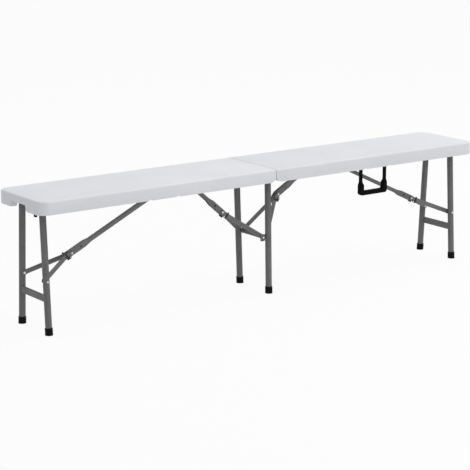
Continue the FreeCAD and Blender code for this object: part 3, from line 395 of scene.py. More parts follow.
def soften(piece: Piece, width: float, segments: int, angle: float = 32.0) -> Piece:
    """Rounds a piece's sharp edges a little and smooths its shading.

    Args:
        piece: The piece.
        width: The width of the rounding.
        segments: Its segments.
        angle: The edge angle, in degrees, from which it is rounded.

    Returns:
        The same piece.
    """
    take(piece)
    rounding = piece.modifiers.new("rounding", "BEVEL")
    rounding.width = width
    rounding.segments = segments
    rounding.limit_method = "ANGLE"
    rounding.angle_limit = math.radians(angle)
    bpy.ops.object.modifier_apply(modifier=rounding.name)
    bpy.ops.object.shade_smooth_by_angle(angle=math.radians(38.0))
    return piece


def join(pieces: Sequence[Piece], name: str) -> Piece:
    """Joins pieces of one finish into one object.

    Args:
        pieces: The pieces.
        name: The name of the whole.

    Returns:
        The joined piece.
    """
    take(pieces[0])
    for piece in pieces:
        piece.select_set(True)
    bpy.ops.object.join()
    pieces[0].name = name
    pieces[0].data.name = name
    return pieces[0]


def put(piece: Piece, place: Matrix) -> Piece:
    """Moves a piece drawn in its own frame to its place, and keeps the place in its mesh.

    Args:
        piece: The piece.
        place: Its place.

    Returns:
        The same piece.
    """
    take(piece)
    piece.matrix_world = place @ piece.matrix_world
    bpy.context.view_layer.update()
    bpy.ops.object.transform_apply()
    return piece


def copy_of(piece: Piece, name: str) -> Piece:
    """Copies a piece with its mesh.

    Args:
        piece: The piece.
        name: The copy's name.

    Returns:
        The copy.
    """
    made = piece.copy()
    made.data = piece.data.copy()
    made.name = name
    made.data.name = name
    bpy.context.scene.collection.objects.link(made)
    return made


def dress(piece: Piece, finish: Finish, body: str, *nodes: str) -> None:
    """Gives a piece its finish and its body, and hides the CAD nodes that it stands for.

    Args:
        piece: The finished piece.
        finish: Its finish.
        body: The CAD body that it moves with.
        *nodes: The CAD nodes that it replaces.
    """
    piece.data.materials.clear()
    piece.data.materials.append(finish.material())
    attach(piece, body)
    if nodes:
        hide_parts(*nodes)
    LOG.info("%s rides on %s", piece.name, body)


def on_halves(piece: Piece, stem: str, finish: Finish, body: str, *nodes: str,
              sides: Sequence[Side] = tuple(Side)) -> None:
    """Dresses a piece that was built on the right half, on each half that has it.

    Args:
        piece: The piece, in its place on the right half.
        stem: The piece's name without its side.
        finish: Its finish.
        body: Its body's name without its side.
        *nodes: The names of the nodes it replaces, without their side.
        sides: The halves that have it. The left half's is turned half a turn.
    """
    for count, side in enumerate(sides, start=1):
        made = piece if count == len(sides) else copy_of(piece, stem)
        if side is Side.LEFT:
            put(made, HALF_TURN)
        made.name = f"{side.value}_{stem}"
        dress(made, finish, f"{side.value}_{body}", *(f"{side.value}_{node}" for node in nodes))


def dome(start: Vector, way: Vector, radius: float, height: float) -> Piece:
    """Makes a domed rivet head on a face.

    Args:
        start: The middle of its foot.
        way: The direction in which it stands out.
        radius: Its radius.
        height: Its height.

    Returns:
        The rivet head.
    """
    profile = [(-0.0004, radius), (height * 0.22, radius), (height * 0.55, radius * 0.9),
               (height * 0.82, radius * 0.68), (height * 0.97, radius * 0.36), (height, radius * 0.1)]
    return turning("rivet_head", start, way, profile, vertices=32)


def shank(start: Vector, way: Vector, length: float) -> Piece:
    """Returns a new rivet shank from one end along its way."""
    return turning("rivet_shank", start, way, [(0.0, SHANK), (length, SHANK)], vertices=24)


def rivet_set(parts: Sequence[Piece], name: str) -> Piece:
    """Joins the parts of some rivets, softens their edges and returns them."""
    return soften(join(parts, name), 0.0002, 1, angle=60.0)


# Seat


@dataclass
class SeatHalf:
    """One blow-moulded seat half with its underside recess, groove, notches and tack-offs."""

    seam: float = 0.0015
    length: float = 0.915
    half_width: float = 0.140
    top: float = 0.445
    skirt: float = 0.401
    deck: float = 0.430
    corner: float = 0.035
    heel: float = 0.022
    top_edge: float = 0.006
    seam_edge: float = 0.0025
    seam_wall: float = 0.006
    rim: float = 0.022
    handle_x: float = 0.453
    handle_step: float = 0.055
    handle_gap: float = 0.00775
    handle_rise: float = 0.0026
    recess_corner: float = 0.014
    groove: tuple[float, float] = (0.060, 0.800)
    groove_half: float = 0.022
    groove_depth: float = 0.007
    notch_half: float = 0.050
    notch_taper: float = 0.84
    notch_height: float = 0.020
    tack_rows: tuple[float, ...] = (-0.074, -0.046, 0.046, 0.074)
    tack_start: float = 0.060
    tack_margin: float = 0.10
    tack_pitch: float = 0.052
    tack_foot: float = 0.0085
    tack_tip: float = 0.0062
    tack_rise: float = 0.0075
    softness: float = 0.0011

    def build(self) -> None:
        """Builds both halves: the left one has its handle notches in its other rim."""
        shell = self._outer()
        self._underside(shell)
        left = copy_of(shell, "left_seat_moulding")
        shell.name = "right_seat_moulding"
        for piece, rim_side in ((shell, -1.0), (left, 1.0)):
            for step in (-self.handle_step, self.handle_step):
                self._handle_notch(piece, self.handle_x + step, rim_side)
            soften(piece, self.softness, 3)
        put(left, HALF_TURN)
        dress(shell, SEAT_PLASTIC, "right_half", "right_seat_panel")
        dress(left, SEAT_PLASTIC, "left_half", "left_seat_panel")

    def _outer(self) -> Piece:
        """Builds the outer form with its rounded corners and edges.

        Returns:
            The seat half, still solid below.
        """
        seat = block("seat_moulding", (self.seam, -self.half_width, self.skirt),
                     (self.length, self.half_width, self.top))
        round_edges(seat, self.corner, 14, lambda a, b: both(a.x, b.x, self.length)
                    and abs(a.z - b.z) > 0.01)
        round_edges(seat, self.heel, 10, lambda a, b: both(a.x, b.x, self.seam)
                    and both(a.z, b.z, self.skirt))
        round_edges(seat, self.top_edge, 6, lambda a, b: both(a.z, b.z, self.top)
                    and not both(a.x, b.x, self.seam))
        round_edges(seat, self.seam_edge, 3, lambda a, b: both(a.x, b.x, self.seam)
                    and max(a.z, b.z) > self.skirt + self.heel + 0.001)
        return seat

    @property
    def _wall(self) -> float:
        """Returns the place of the end rim's inner face."""
        return self.length - self.rim

    def _underside(self, seat: Piece) -> None:
        """Carves the recess, the brace groove, the end notch and the tack-offs.

        Args:
            seat: The seat half.
        """
        side = self.half_width - self.rim
        recess = block("recess", (self.seam + self.seam_wall, -side, self.skirt - 0.02),
                       (self._wall, side, self.deck))
        round_edges(recess, self.recess_corner, 8, lambda a, b: both(a.x, b.x, self._wall)
                    and abs(a.z - b.z) > 0.01)
        carve(seat, recess)
        start, end = self.groove
        carve(seat, block("groove", (start, -self.groove_half, self.deck - OVERLAP),
                          (end, self.groove_half, self.deck + self.groove_depth)))
        carve(seat, self._end_notch())
        carve(seat, self._tacks())

    def _end_notch(self) -> Piece:
        """Builds the tool for the notch in the end rim, narrower at its roof.

        Returns:
            The tool.
        """
        roof = self.skirt + self.notch_height
        notch = block("notch", (self._wall - OVERLAP, -self.notch_half, self.skirt),
                      (self.length + OVERLAP, self.notch_half, roof))
        pick(notch, Part.FACE, lambda face: face.normal.z > FACING)
        bpy.ops.transform.resize(value=(1.0, self.notch_taper, 1.0),
                                 center_override=(self.length, 0.0, roof))
        leave_edit()
        pull(notch, UPWARD * -OVERLAP, lambda face: face.normal.z < -FACING)
        return notch

    def _tacks(self) -> Piece:
        """Builds the tool for the rows of tack-offs in the recess's roof.

        Returns:
            The tool.
        """
        tacks = []
        profile = [(-0.002, self.tack_foot), (self.tack_rise, self.tack_tip)]
        for row, y in enumerate(self.tack_rows):
            for step in range(int((self._wall - self.tack_margin) / self.tack_pitch)):
                x = self.tack_start + (step + 0.5 * (row % 2)) * self.tack_pitch
                tacks.append(turning("tack", Vector((x, y, self.deck)), UPWARD, profile, vertices=20))
        return join(tacks, "tacks")

    def _handle_notch(self, seat: Piece, x: float, rim_side: float) -> None:
        """Cuts the notch in a rim's lower edge in which a handle arm lies when it is swung out.

        Args:
            seat: The seat half.
            x: The middle of the notch.
            rim_side: Which rim, -1 or 1.
        """
        near, far = sorted(rim_side * (self.half_width + more) for more in (-self.rim - 0.001, 0.002))
        carve(seat, block("handle_notch", (x - self.handle_gap, near, self.skirt - 0.002),
                          (x + self.handle_gap, far, self.skirt + self.handle_rise)))


# Legs


@dataclass
class Leg:
    """One round leg tube with its rubber foot, from its axle down to the floor."""

    pivot: Vector
    foot: Vector
    radius: float = 0.011
    wall: float = 0.0012
    foot_radius: float = 0.013
    foot_height: float = 0.024
    foot_groove: float = 0.0007

    def tube(self) -> Piece:
        """Builds the tube: open at its top end, rounded around the axle.

        Returns:
            The tube.
        """
        down = self.foot - self.pivot
        inner = self.radius - self.wall
        profile = [(0.004, inner), (-0.0085, inner), (-0.0095, inner + 0.0003),
                   (-0.0098, self.radius - 0.0006), (-0.0090, self.radius),
                   (down.length - 0.004, self.radius)]
        made = turning("leg_tube", self.pivot, down, profile, vertices=48)
        return soften(made, 0.0002, 1, angle=60.0)

    def boot(self) -> Piece:
        """Builds the rubber foot: a cap with a rolled lip and two grooves, cut flat on the floor.

        Returns:
            The foot.
        """
        down = self.foot - self.pivot
        lip, low = self.foot_radius, down.length - self.foot_height
        bottom = lip - self.foot_groove
        profile = [(low, self.radius - 0.0004), (low, self.radius + 0.0008), (low + 0.0007, lip - 0.0003),
                   (low + 0.0018, lip), (low + 0.0040, lip), (low + 0.0050, bottom), (low + 0.0072, bottom),
                   (low + 0.0080, lip - 0.0001), (low + 0.0150, lip - 0.0001), (low + 0.0158, bottom),
                   (low + 0.0172, bottom), (low + 0.0180, lip), (down.length - 0.0015, lip),
                   (down.length + 0.004, lip)]
        made = turning("foot_cap", self.pivot, down, profile, vertices=48)
        edit_all(made)
        bpy.ops.mesh.bisect(plane_co=(0.0, 0.0, 0.0), plane_no=UPWARD, use_fill=True, clear_inner=True)
        leave_edit()
        recalculate(made)
        return soften(made, 0.0005, 2, angle=40.0)


@dataclass
class EndLegFrame:
    """The leg frame at a bench end: two tubes, a flattened crossbar, rivets and feet."""

    x: float = 0.866
    top_y: float = 0.0635
    foot_y: float = 0.087
    pivot_z: float = 0.415
    crossbar_z: float = 0.118
    crossbar_ahead: float = 0.0035
    crossbar_thick: float = 0.005
    crossbar_high: float = 0.012
    crossbar_inset: float = 0.006
    rivet_z: float = 0.174
    rivet_outer: float = 0.0108
    rivet_inner: float = 0.0158
    shank_length: float = 0.0268
    inner_head: tuple[float, float] = (0.0043, 0.0018)

    def spread(self, z: float) -> float:
        """Returns half the leg spacing at a height."""
        return self.top_y + (self.foot_y - self.top_y) * (self.pivot_z - z) / self.pivot_z

    def leg(self, sign: float) -> Leg:
        """Returns the front leg for -1 or the back leg for 1."""
        return Leg(Vector((self.x, sign * self.top_y, self.pivot_z)),
                   Vector((self.x, sign * self.foot_y, 0.0)))

    def build(self) -> None:
        """Builds the frame on both halves."""
        for sign, place in zip(SIGNS, ("front", "back")):
            name = f"end_leg_{place}"
            on_halves(self.leg(sign).tube(), f"{name}_tube", LEG_STEEL, "end_frame", name)
        boots = join([self.leg(sign).boot() for sign in SIGNS], "feet")
        on_halves(boots, "end_rubber_feet", RUBBER, "end_frame", "end_feet")
        on_halves(self._crossbar(), "end_crossbar_tube", LEG_STEEL, "end_frame", "end_crossbar")
        on_halves(self._rivets(), "end_leg_rivet_set", ZINC_STEEL, "end_frame", "end_leg_rivets")

    def _crossbar(self) -> Piece:
        """Builds the flattened tube between the legs.

        Returns:
            The crossbar.
        """
        reach = self.spread(self.crossbar_z) - self.crossbar_inset
        x, z = self.x + self.crossbar_ahead, self.crossbar_z
        bar = block("crossbar", (x - self.crossbar_thick, -reach, z - self.crossbar_high),
                    (x + self.crossbar_thick, reach, z + self.crossbar_high))
        round_edges(bar, 0.0048, 7, lambda a, b: abs(a.y - b.y) > 0.05)
        return soften(bar, 0.0003, 1)

    def _rivets(self) -> Piece:
        """Builds the domed rivets that hold the brace arms to the legs.

        Returns:
            The rivets.
        """
        made = []
        y = self.spread(self.rivet_z)
        for sign in SIGNS:
            out = BACKWARD * sign
            outer = Vector((self.x, sign * (y + self.rivet_outer), self.rivet_z))
            inner = Vector((self.x, sign * (y - self.rivet_inner), self.rivet_z))
            made += [dome(outer, out, *BRIGHT_HEAD), dome(inner, -out, *self.inner_head),
                     shank(inner, out, self.shank_length)]
        return rivet_set(made, "rivets")


@dataclass
class MidLegFrame:
    """The single leg near the seam, with the tie rod that carries the far brace arm."""

    side: Side
    foot_x: float
    x: float = 0.020
    top_y: float = 0.0635
    foot_y: float = 0.087
    pivot_z: float = 0.415
    rod_reach: float = 0.21965
    rod_radius: float = 0.005
    rod_start: float = 0.0108
    tab_y: float = 0.0705
    tab_thick: float = 0.003
    tab_behind: float = 0.005
    tab_ahead: float = 0.013
    tab_half: float = 0.012
    tab_corner: float = 0.004
    rod_head: tuple[float, float] = (0.0056, 0.0018)
    tab_head: tuple[float, float] = (0.0045, 0.0021)

    def rod(self) -> Vector:
        """Finds the tie rod's place beside the leg.

        Returns:
            The place, with half the leg spacing there as Y.
        """
        share = self.rod_reach / math.hypot(self.pivot_z, self.x - self.foot_x)
        return Vector((self.x + (self.foot_x - self.x) * share,
                       self.top_y + (self.foot_y - self.top_y) * share, self.pivot_z * (1.0 - share)))

    def build(self) -> None:
        """Builds the frame on its half."""
        leg = Leg(Vector((self.x, -self.top_y, self.pivot_z)), Vector((self.foot_x, -self.foot_y, 0.0)))
        on_halves(leg.tube(), "mid_leg_tube", LEG_STEEL, "mid_frame", "mid_leg", sides=(self.side,))
        on_halves(leg.boot(), "mid_rubber_foot", RUBBER, "mid_frame", "mid_foot", sides=(self.side,))
        self._tie_rod()

    def _tie_rod(self) -> None:
        """Builds the tie rod with a painted head at the leg, and its plate with a bright rivet."""
        x, y, z = self.rod()
        ends = (-self.rod_start, y + self.tab_y + 0.0005)
        rod = turning("tie_rod", Vector((x, -y, z)), BACKWARD, [(end, self.rod_radius) for end in ends],
                      vertices=32)
        plate = block("tie_plate", (x - self.tab_behind, self.tab_y, z - self.tab_half),
                      (x + self.tab_ahead, self.tab_y + self.tab_thick, z + self.tab_half))
        round_edges(plate, self.tab_corner, 5, lambda a, b: abs(a.y - b.y) > 0.002)
        head = dome(Vector((x, -y - self.rod_start, z)), -BACKWARD, *self.rod_head)
        bar = soften(join([rod, plate, head], "tie_rod"), 0.0004, 2, angle=50.0)
        on_halves(bar, "mid_tie_rod_bar", LEG_STEEL, "mid_frame", "mid_tie_rod", sides=(self.side,))
        rivet = dome(Vector((x, self.tab_y + self.tab_thick, z)), BACKWARD, *self.tab_head)
        on_halves(rivet, "mid_tie_rod_rivet", ZINC_STEEL, "mid_frame", sides=(self.side,))


# Braces


def upper_side(way: Vector) -> Vector:
    """Returns the direction that is square to one in the XZ plane and points up."""
    return Vector((-way.z, 0.0, way.x)) * (1.0 if way.x > 0 else -1.0)


@dataclass
class Brace:
    """One toggle brace: a fork of two arms on the leg, a channel link on the seat, and its knee."""

    kind: Kind
    leg: Vector
    knee: Vector
    top: Vector
    arm_y: tuple[float, float]
    sides: Sequence[Side] = tuple(Side)
    width: float = 0.016
    plate: float = 0.003
    knee_y: float = 0.0078
    link_half_width: float = 0.0070
    link_slim: float = 0.0062
    link_deep: float = 0.0100
    nose: float = 0.009
    wall: float = 0.0018
    leg_straight: float = 0.008
    knee_straight: float = 0.030
    flare_start: float = 0.078
    flare: float = 0.022
    lock_at: float = 0.024
    lock_thick: float = 0.0022
    lock_low: float = -0.013
    lock_foot: float = -0.005
    lock_width: float = 0.006
    lock_rise: float = 0.016
    lock_ear: float = 0.011
    lock_hole: tuple[float, float] = (0.040, 0.0035)
    lock_head: tuple[float, float] = (0.0028, 0.0015)
    ear_rivet: tuple[float, float] = (0.011, -0.009)
    rib_start: float = 0.020
    rib_end: float = 0.042
    rib_radius: float = 0.0030
    rib_out: float = 0.0022
    fold: float = 0.0018

    @staticmethod
    def pressed_knee(leg: Vector, top: Vector, arm: float, sag: float) -> Vector:
        """Finds a knee that is pressed a little below the brace's straight line.

        Args:
            leg: The pivot on the leg.
            top: The hinge under the seat.
            arm: The pivot to the knee.
            sag: The knee below the line.

        Returns:
            The knee.
        """
        way = (top - leg).normalized()
        return leg + way * math.sqrt(arm ** 2 - sag ** 2) - upper_side(way) * sag

    @staticmethod
    def raised_knee(leg: Vector, top: Vector, arm: float, link: float) -> Vector:
        """Finds a knee that stands up.

        Args:
            leg: The pivot on the leg.
            top: The hinge under the seat.
            arm: The pivot to the knee.
            link: The knee to the hinge.

        Returns:
            The knee.
        """
        whole = (top - leg).length
        way = (top - leg).normalized()
        reach = (arm ** 2 - link ** 2 + whole ** 2) / (2.0 * whole)
        return leg + way * reach + Vector((-way.z, 0.0, way.x)) * math.sqrt(arm ** 2 - reach ** 2)

    @property
    def arm(self) -> float:
        """Returns the length of an arm between its pivots."""
        return (self.knee - self.leg).length

    def build(self) -> None:
        """Builds the brace on each half that has it."""
        for place, sign, leg_y in zip(("front", "back"), SIGNS, self.arm_y):
            self._dress(self._arm(sign, leg_y), f"arm_{place}_strip", BRACE_STEEL, "fork",
                        f"brace_arm_{place}")
        self._dress(self._link(), "link_channel", BRACE_STEEL, "link", "brace_link")
        self._dress(self._knee_rivets(), "knee_rivet_heads", ZINC_STEEL, "fork", "knee_rivets")
        self._dress(self._locks(), "lock_plate_pair", DARK_STEEL, "fork", "lock_plates")
        self._dress(self._lock_rivets(), "lock_rivet_heads", ZINC_STEEL, "fork")

    def _dress(self, piece: Piece, stem: str, finish: Finish, body: str, *nodes: str) -> None:
        """Dresses a piece on the brace's halves, with the brace's kind in front of every name."""
        stem, body, *nodes = (f"{self.kind.value}_{name}" for name in (stem, body, *nodes))
        on_halves(piece, stem, finish, body, *nodes, sides=self.sides)

    @staticmethod
    def _along(start: Vector, end: Vector) -> Matrix:
        """Makes a frame whose Z is the upper side.

        Args:
            start: Its origin.
            end: Where its X points.

        Returns:
            The frame.
        """
        way = (end - start).normalized()
        upper = upper_side(way)
        return Matrix.Translation(start) @ Matrix((way, upper.cross(way), upper)).transposed().to_4x4()

    def _arm(self, sign: float, leg_y: float) -> Piece:
        """Builds one joggled arm strip: straight at the leg, slanting in, straight at the knee.

        Args:
            sign: -1 for the front arm, 1 for the back arm.
            leg_y: Its inner face at the leg, from the middle.

        Returns:
            The arm.
        """
        frame = self._along(self.leg, self.knee)
        side = sign if frame.col[1].y > 0 else -sign
        half = self.width / 2
        faces = sorted((side * leg_y, side * (leg_y + self.plate)))
        strip = block("arm_strip", (-half, faces[0], -half), (self.leg_straight, faces[1], half))
        bend, end = self.arm - self.knee_straight, self.arm + half
        for reach, shift in ((bend - self.leg_straight, side * (self.knee_y - leg_y)), (end - bend, 0.0)):
            pull(strip, (reach, shift, 0.0), lambda face: face.normal.x > FACING)
        for x in (-half, end):
            round_edges(strip, half - 0.0003, 9, lambda a, b, x=x: both(a.x, b.x, x)
                        and abs(a.y - b.y) > 0.001)
        self._rib(strip, side, leg_y)
        return put(soften(strip, 0.0004, 2), frame)

    def _rib(self, strip: Piece, side: float, leg_y: float) -> None:
        """Presses a shallow stiffening rib into the slanting part of an arm's outer face.

        Args:
            strip: The arm.
            side: The arm's side in its own frame.
            leg_y: Its inner face at the leg, from the middle.
        """
        start, end = self.rib_start, self.arm - self.rib_end
        slope = side * (self.knee_y - leg_y) / (self.arm - self.knee_straight - self.leg_straight)

        def middle(x: float) -> float:
            """Returns the outer face's place across the bench."""
            return side * (leg_y + self.plate) + slope * (x - self.leg_straight)

        way = Vector((end - start, middle(end) - middle(start), 0.0))
        whole, tip = self.rib_radius, 0.0008
        profile = [(0.0, tip), (whole, whole), (way.length - whole, whole), (way.length, tip)]
        carve(strip, turning("rib", Vector((start, middle(start) + side * self.rib_out, 0.0)), way, profile,
                             vertices=20))

    def _flared(self, name: str, start: float, end: float, wall: float) -> Piece:
        """Builds the link's bar, slim at the hinge and deeper towards the knee.

        Args:
            name: Its name.
            start: Where it starts, from the hinge.
            end: Where it ends.
            wall: How much smaller it is than the link on each side.

        Returns:
            The bar, along X.
        """
        length = (self.top - self.knee).length
        y, slim, deep = self.link_half_width - wall, self.link_slim - wall, self.link_deep - wall
        bar = block(name, (start, -y, -slim), (length - self.flare_start, y, slim))
        for reach, scale in ((self.flare, deep / slim), (end - length + self.flare_start - self.flare, 1.0)):
            pick(bar, Part.FACE, lambda face: face.normal.x > FACING)
            extrude((reach, 0.0, 0.0))
            bpy.ops.transform.resize(value=(1.0, 1.0, scale), center_override=(0.0, 0.0, 0.0))
            leave_edit()
        return bar

    def _link(self) -> Piece:
        """Builds the upper link: a folded channel, open below, that is deeper near the knee.

        Returns:
            The link.
        """
        length = (self.top - self.knee).length
        slim = self.link_slim
        start, end = -slim, length + self.nose
        link = self._flared("link", start, end, 0.0)
        round_edges(link, slim - 0.0006, 6, lambda a, b: both(a.x, b.x, start) and abs(a.y - b.y) > 0.01)
        round_edges(link, self.nose - 0.001, 7, lambda a, b: both(a.x, b.x, end) and abs(a.y - b.y) > 0.01)
        round_edges(link, self.fold, 3, lambda a, b: min(a.z, b.z) > slim - 0.0006 and abs(a.x - b.x) > 0.01
                    and both(abs(a.y), abs(b.y), self.link_half_width) and same(a.y, b.y))
        hollow = self._flared("hollow", start - OVERLAP, end + OVERLAP, self.wall)
        pull(hollow, UPWARD * -2 * OVERLAP, lambda face: face.normal.z < -0.2)
        carve(link, hollow)
        back, lock_radius = self.lock_hole
        for x, radius in ((length - back, lock_radius), (length, SHANK), (0.0, SHANK)):
            profile = [(-2 * OVERLAP, radius), (2 * OVERLAP, radius)]
            carve(link, turning("hole", Vector((x, 0.0, 0.0)), BACKWARD, profile, vertices=24))
        return put(soften(link, 0.0003, 1, angle=50.0), self._along(self.top, self.knee))

    def _knee_rivets(self) -> Piece:
        """Builds the two domed rivets at the knee.

        Returns:
            The rivets.
        """
        made = []
        for sign in SIGNS:
            out = BACKWARD * sign
            inner = Vector((self.knee.x, sign * self.knee_y, self.knee.z))
            made += [dome(inner + out * self.plate, out, *BRIGHT_HEAD),
                     shank(inner, out, self.plate)]
        return rivet_set(made, "knee_rivets")

    def _locks(self) -> Piece:
        """Builds the pair of lock plates: an upright strip on each arm's outer face, with an ear below.

        Returns:
            The plates.
        """
        made = []
        start, face_y = self.arm - self.lock_at, self.knee_y + self.plate
        top, ear = self.lock_foot + self.lock_rise, start + self.lock_width + self.lock_ear
        for sign in SIGNS:
            flat = sorted((sign * face_y, sign * (face_y + self.lock_thick)))
            plate = block("lock_plate", (start, flat[0], self.lock_low),
                          (start + self.lock_width, flat[1], self.lock_foot))
            pull(plate, UPWARD * self.lock_rise, lambda face: face.normal.z > FACING)
            pull(plate, (self.lock_ear, 0.0, 0.0), lambda face: face.normal.x > FACING
                 and face.calc_center_median().z < self.lock_foot)
            round_edges(plate, 0.0020, 4, lambda a, b: abs(a.y - b.y) > 0.001 and same(a.z, top))
            round_edges(plate, 0.0036, 6, lambda a, b: abs(a.y - b.y) > 0.001 and same(a.x, ear))
            made.append(plate)
        plates = soften(join(made, "lock_plates"), 0.0003, 1, angle=50.0)
        return put(plates, self._along(self.leg, self.knee))

    def _lock_rivets(self) -> Piece:
        """Builds the small rivets in the ears of the lock plates.

        Returns:
            The rivets.
        """
        y = self.knee_y + self.plate + self.lock_thick
        back, height = self.ear_rivet
        made = [dome(Vector((self.arm - back, sign * y, height)), BACKWARD * sign, *self.lock_head)
                for sign in SIGNS]
        return put(rivet_set(made, "lock_rivets"), self._along(self.leg, self.knee))


# Handle and hook


@dataclass
class CarryHandle:
    """The black moulded handle that hangs from the front rail of the right half."""

    x: float = 0.453
    y: float = -0.1095
    pivot_z: float = 0.400
    half_span: float = 0.06175
    arm_width: float = 0.0135
    corner_width: float = 0.017
    half_depth: float = 0.0085
    arm_depth: float = 0.003
    drop: float = 0.0985
    grip: float = 0.015
    corner_height: float = 0.022
    shoulder: float = 0.011

    def build(self) -> None:
        """Builds the handle as one moulding: round grip, thick corners, flat arms with round eyes."""
        low = self.pivot_z - self.drop
        floor = low + self.grip
        inner = self.half_span - self.corner_width
        handle = block("handle", (-self.half_span, -self.half_depth, low),
                       (self.half_span, self.half_depth, floor))
        for x in (-inner, inner):
            edit_all(handle)
            bpy.ops.mesh.bisect(plane_co=(x, 0.0, 0.0), plane_no=(1.0, 0.0, 0.0))
            leave_edit()
        for sign in SIGNS:
            self._arm(handle, sign, floor, inner)
        for z, x, width, segments in ((low, self.half_span, 0.0100, 7), (floor, inner, 0.0070, 6)):
            round_edges(handle, width, segments, lambda a, b, x=x, z=z: abs(a.y - b.y) > 0.012
                        and both(a.z, b.z, z) and same(abs(a.x), x))
        eye = self.pivot_z + self.arm_depth
        round_edges(handle, self.arm_depth - 0.0001, 6, lambda a, b: both(a.z, b.z, eye)
                    and abs(a.x - b.x) > 0.01)
        round_edges(handle, 0.0045, 5, lambda a, b: same(abs(a.y), self.half_depth) and same(a.y, b.y)
                    and max(a.z, b.z) < floor + 0.030)
        put(soften(handle, 0.0010, 3, angle=28.0), Matrix.Translation((self.x, self.y, 0.0)))
        dress(handle, BLACK_PLASTIC, "handle", "carry_handle")

    def _arm(self, handle: Piece, sign: float, floor: float, inner: float) -> None:
        """Raises one arm from the end of the grip: thick at the corner, then thin and narrow.

        Args:
            handle: The handle.
            sign: Which arm, -1 or 1.
            floor: The height of the grip's upper side.
            inner: Where the corner starts along the grip.
        """
        pick(handle, Part.FACE, lambda face: face.normal.z > FACING
             and sign * face.calc_center_median().x > inner and same(face.calc_center_median().z, floor))
        for rise in (self.corner_height, self.shoulder):
            extrude(UPWARD * rise)
        neck = floor + self.corner_height + self.shoulder
        thinner = (self.arm_width / self.corner_width, self.arm_depth / self.half_depth, 1.0)
        bpy.ops.transform.resize(value=thinner, center_override=(sign * self.half_span, 0.0, neck))
        extrude(UPWARD * (self.pivot_z + self.arm_depth - neck))
        leave_edit()


@dataclass
class ClosingHook:
    """The small black hook inside the end notch of the left half."""

    x: float = -0.884
    y: float = -0.050
    z: float = 0.409
    length: float = 0.028
    width: float = 0.009
    thickness: float = 0.006
    tip: float = 0.0063
    barb: float = 0.0045

    def build(self) -> None:
        """Builds the hook: a strap with a round eye and a barb at its tip."""
        half, thick = self.width / 2, self.thickness / 2
        low = self.z - self.length
        hook = block("hook", (self.x - thick, self.y - half, low + self.tip),
                     (self.x + thick, self.y + half, self.z + half))
        round_edges(hook, half - 0.0003, 6, lambda a, b: both(a.z, b.z, self.z + half)
                    and abs(a.x - b.x) > 0.002)
        pull(hook, UPWARD * -self.tip, lambda face: face.normal.z < -FACING)
        pull(hook, (0.0, -self.barb, 0.0), lambda face: face.normal.y < -FACING
             and face.calc_center_median().z < low + 0.005)
        dress(soften(hook, 0.0008, 3), BLACK_PLASTIC, "hook", "closing_hook")


# Steel parts that keep their CAD shape


@dataclass
class PlainSteel:
    """The CAD nodes that are shown as they are, with the finish of each."""

    dark: tuple[str, ...] = ("front_rail", "back_rail", "hinge_plates", "brace_brackets")
    zinc: tuple[str, ...] = ("panel_screws", "brace_pins", "end_axle", "mid_axle")
    single_dark: tuple[str, ...] = ("handle_brackets",)
    single_zinc: tuple[str, ...] = ("hinge_pins", "handle_pins", "hook_pin")

    def build(self, nodes: dict[str, Piece]) -> None:
        """Gives each of the nodes its finish.

        Args:
            nodes: The CAD nodes by name.
        """
        wanted = [(f"{side.value}_{name}", finish) for side in Side
                  for names, finish in ((self.dark, DARK_STEEL), (self.zinc, ZINC_STEEL)) for name in names]
        wanted += [(name, DARK_STEEL) for name in self.single_dark]
        wanted += [(name, ZINC_STEEL) for name in self.single_zinc]
        for name, finish in wanted:
            for place in nodes[name].material_slots:
                place.material = finish.material()
            LOG.info("%s keeps its shape in %s", name, finish.name)


# Studio


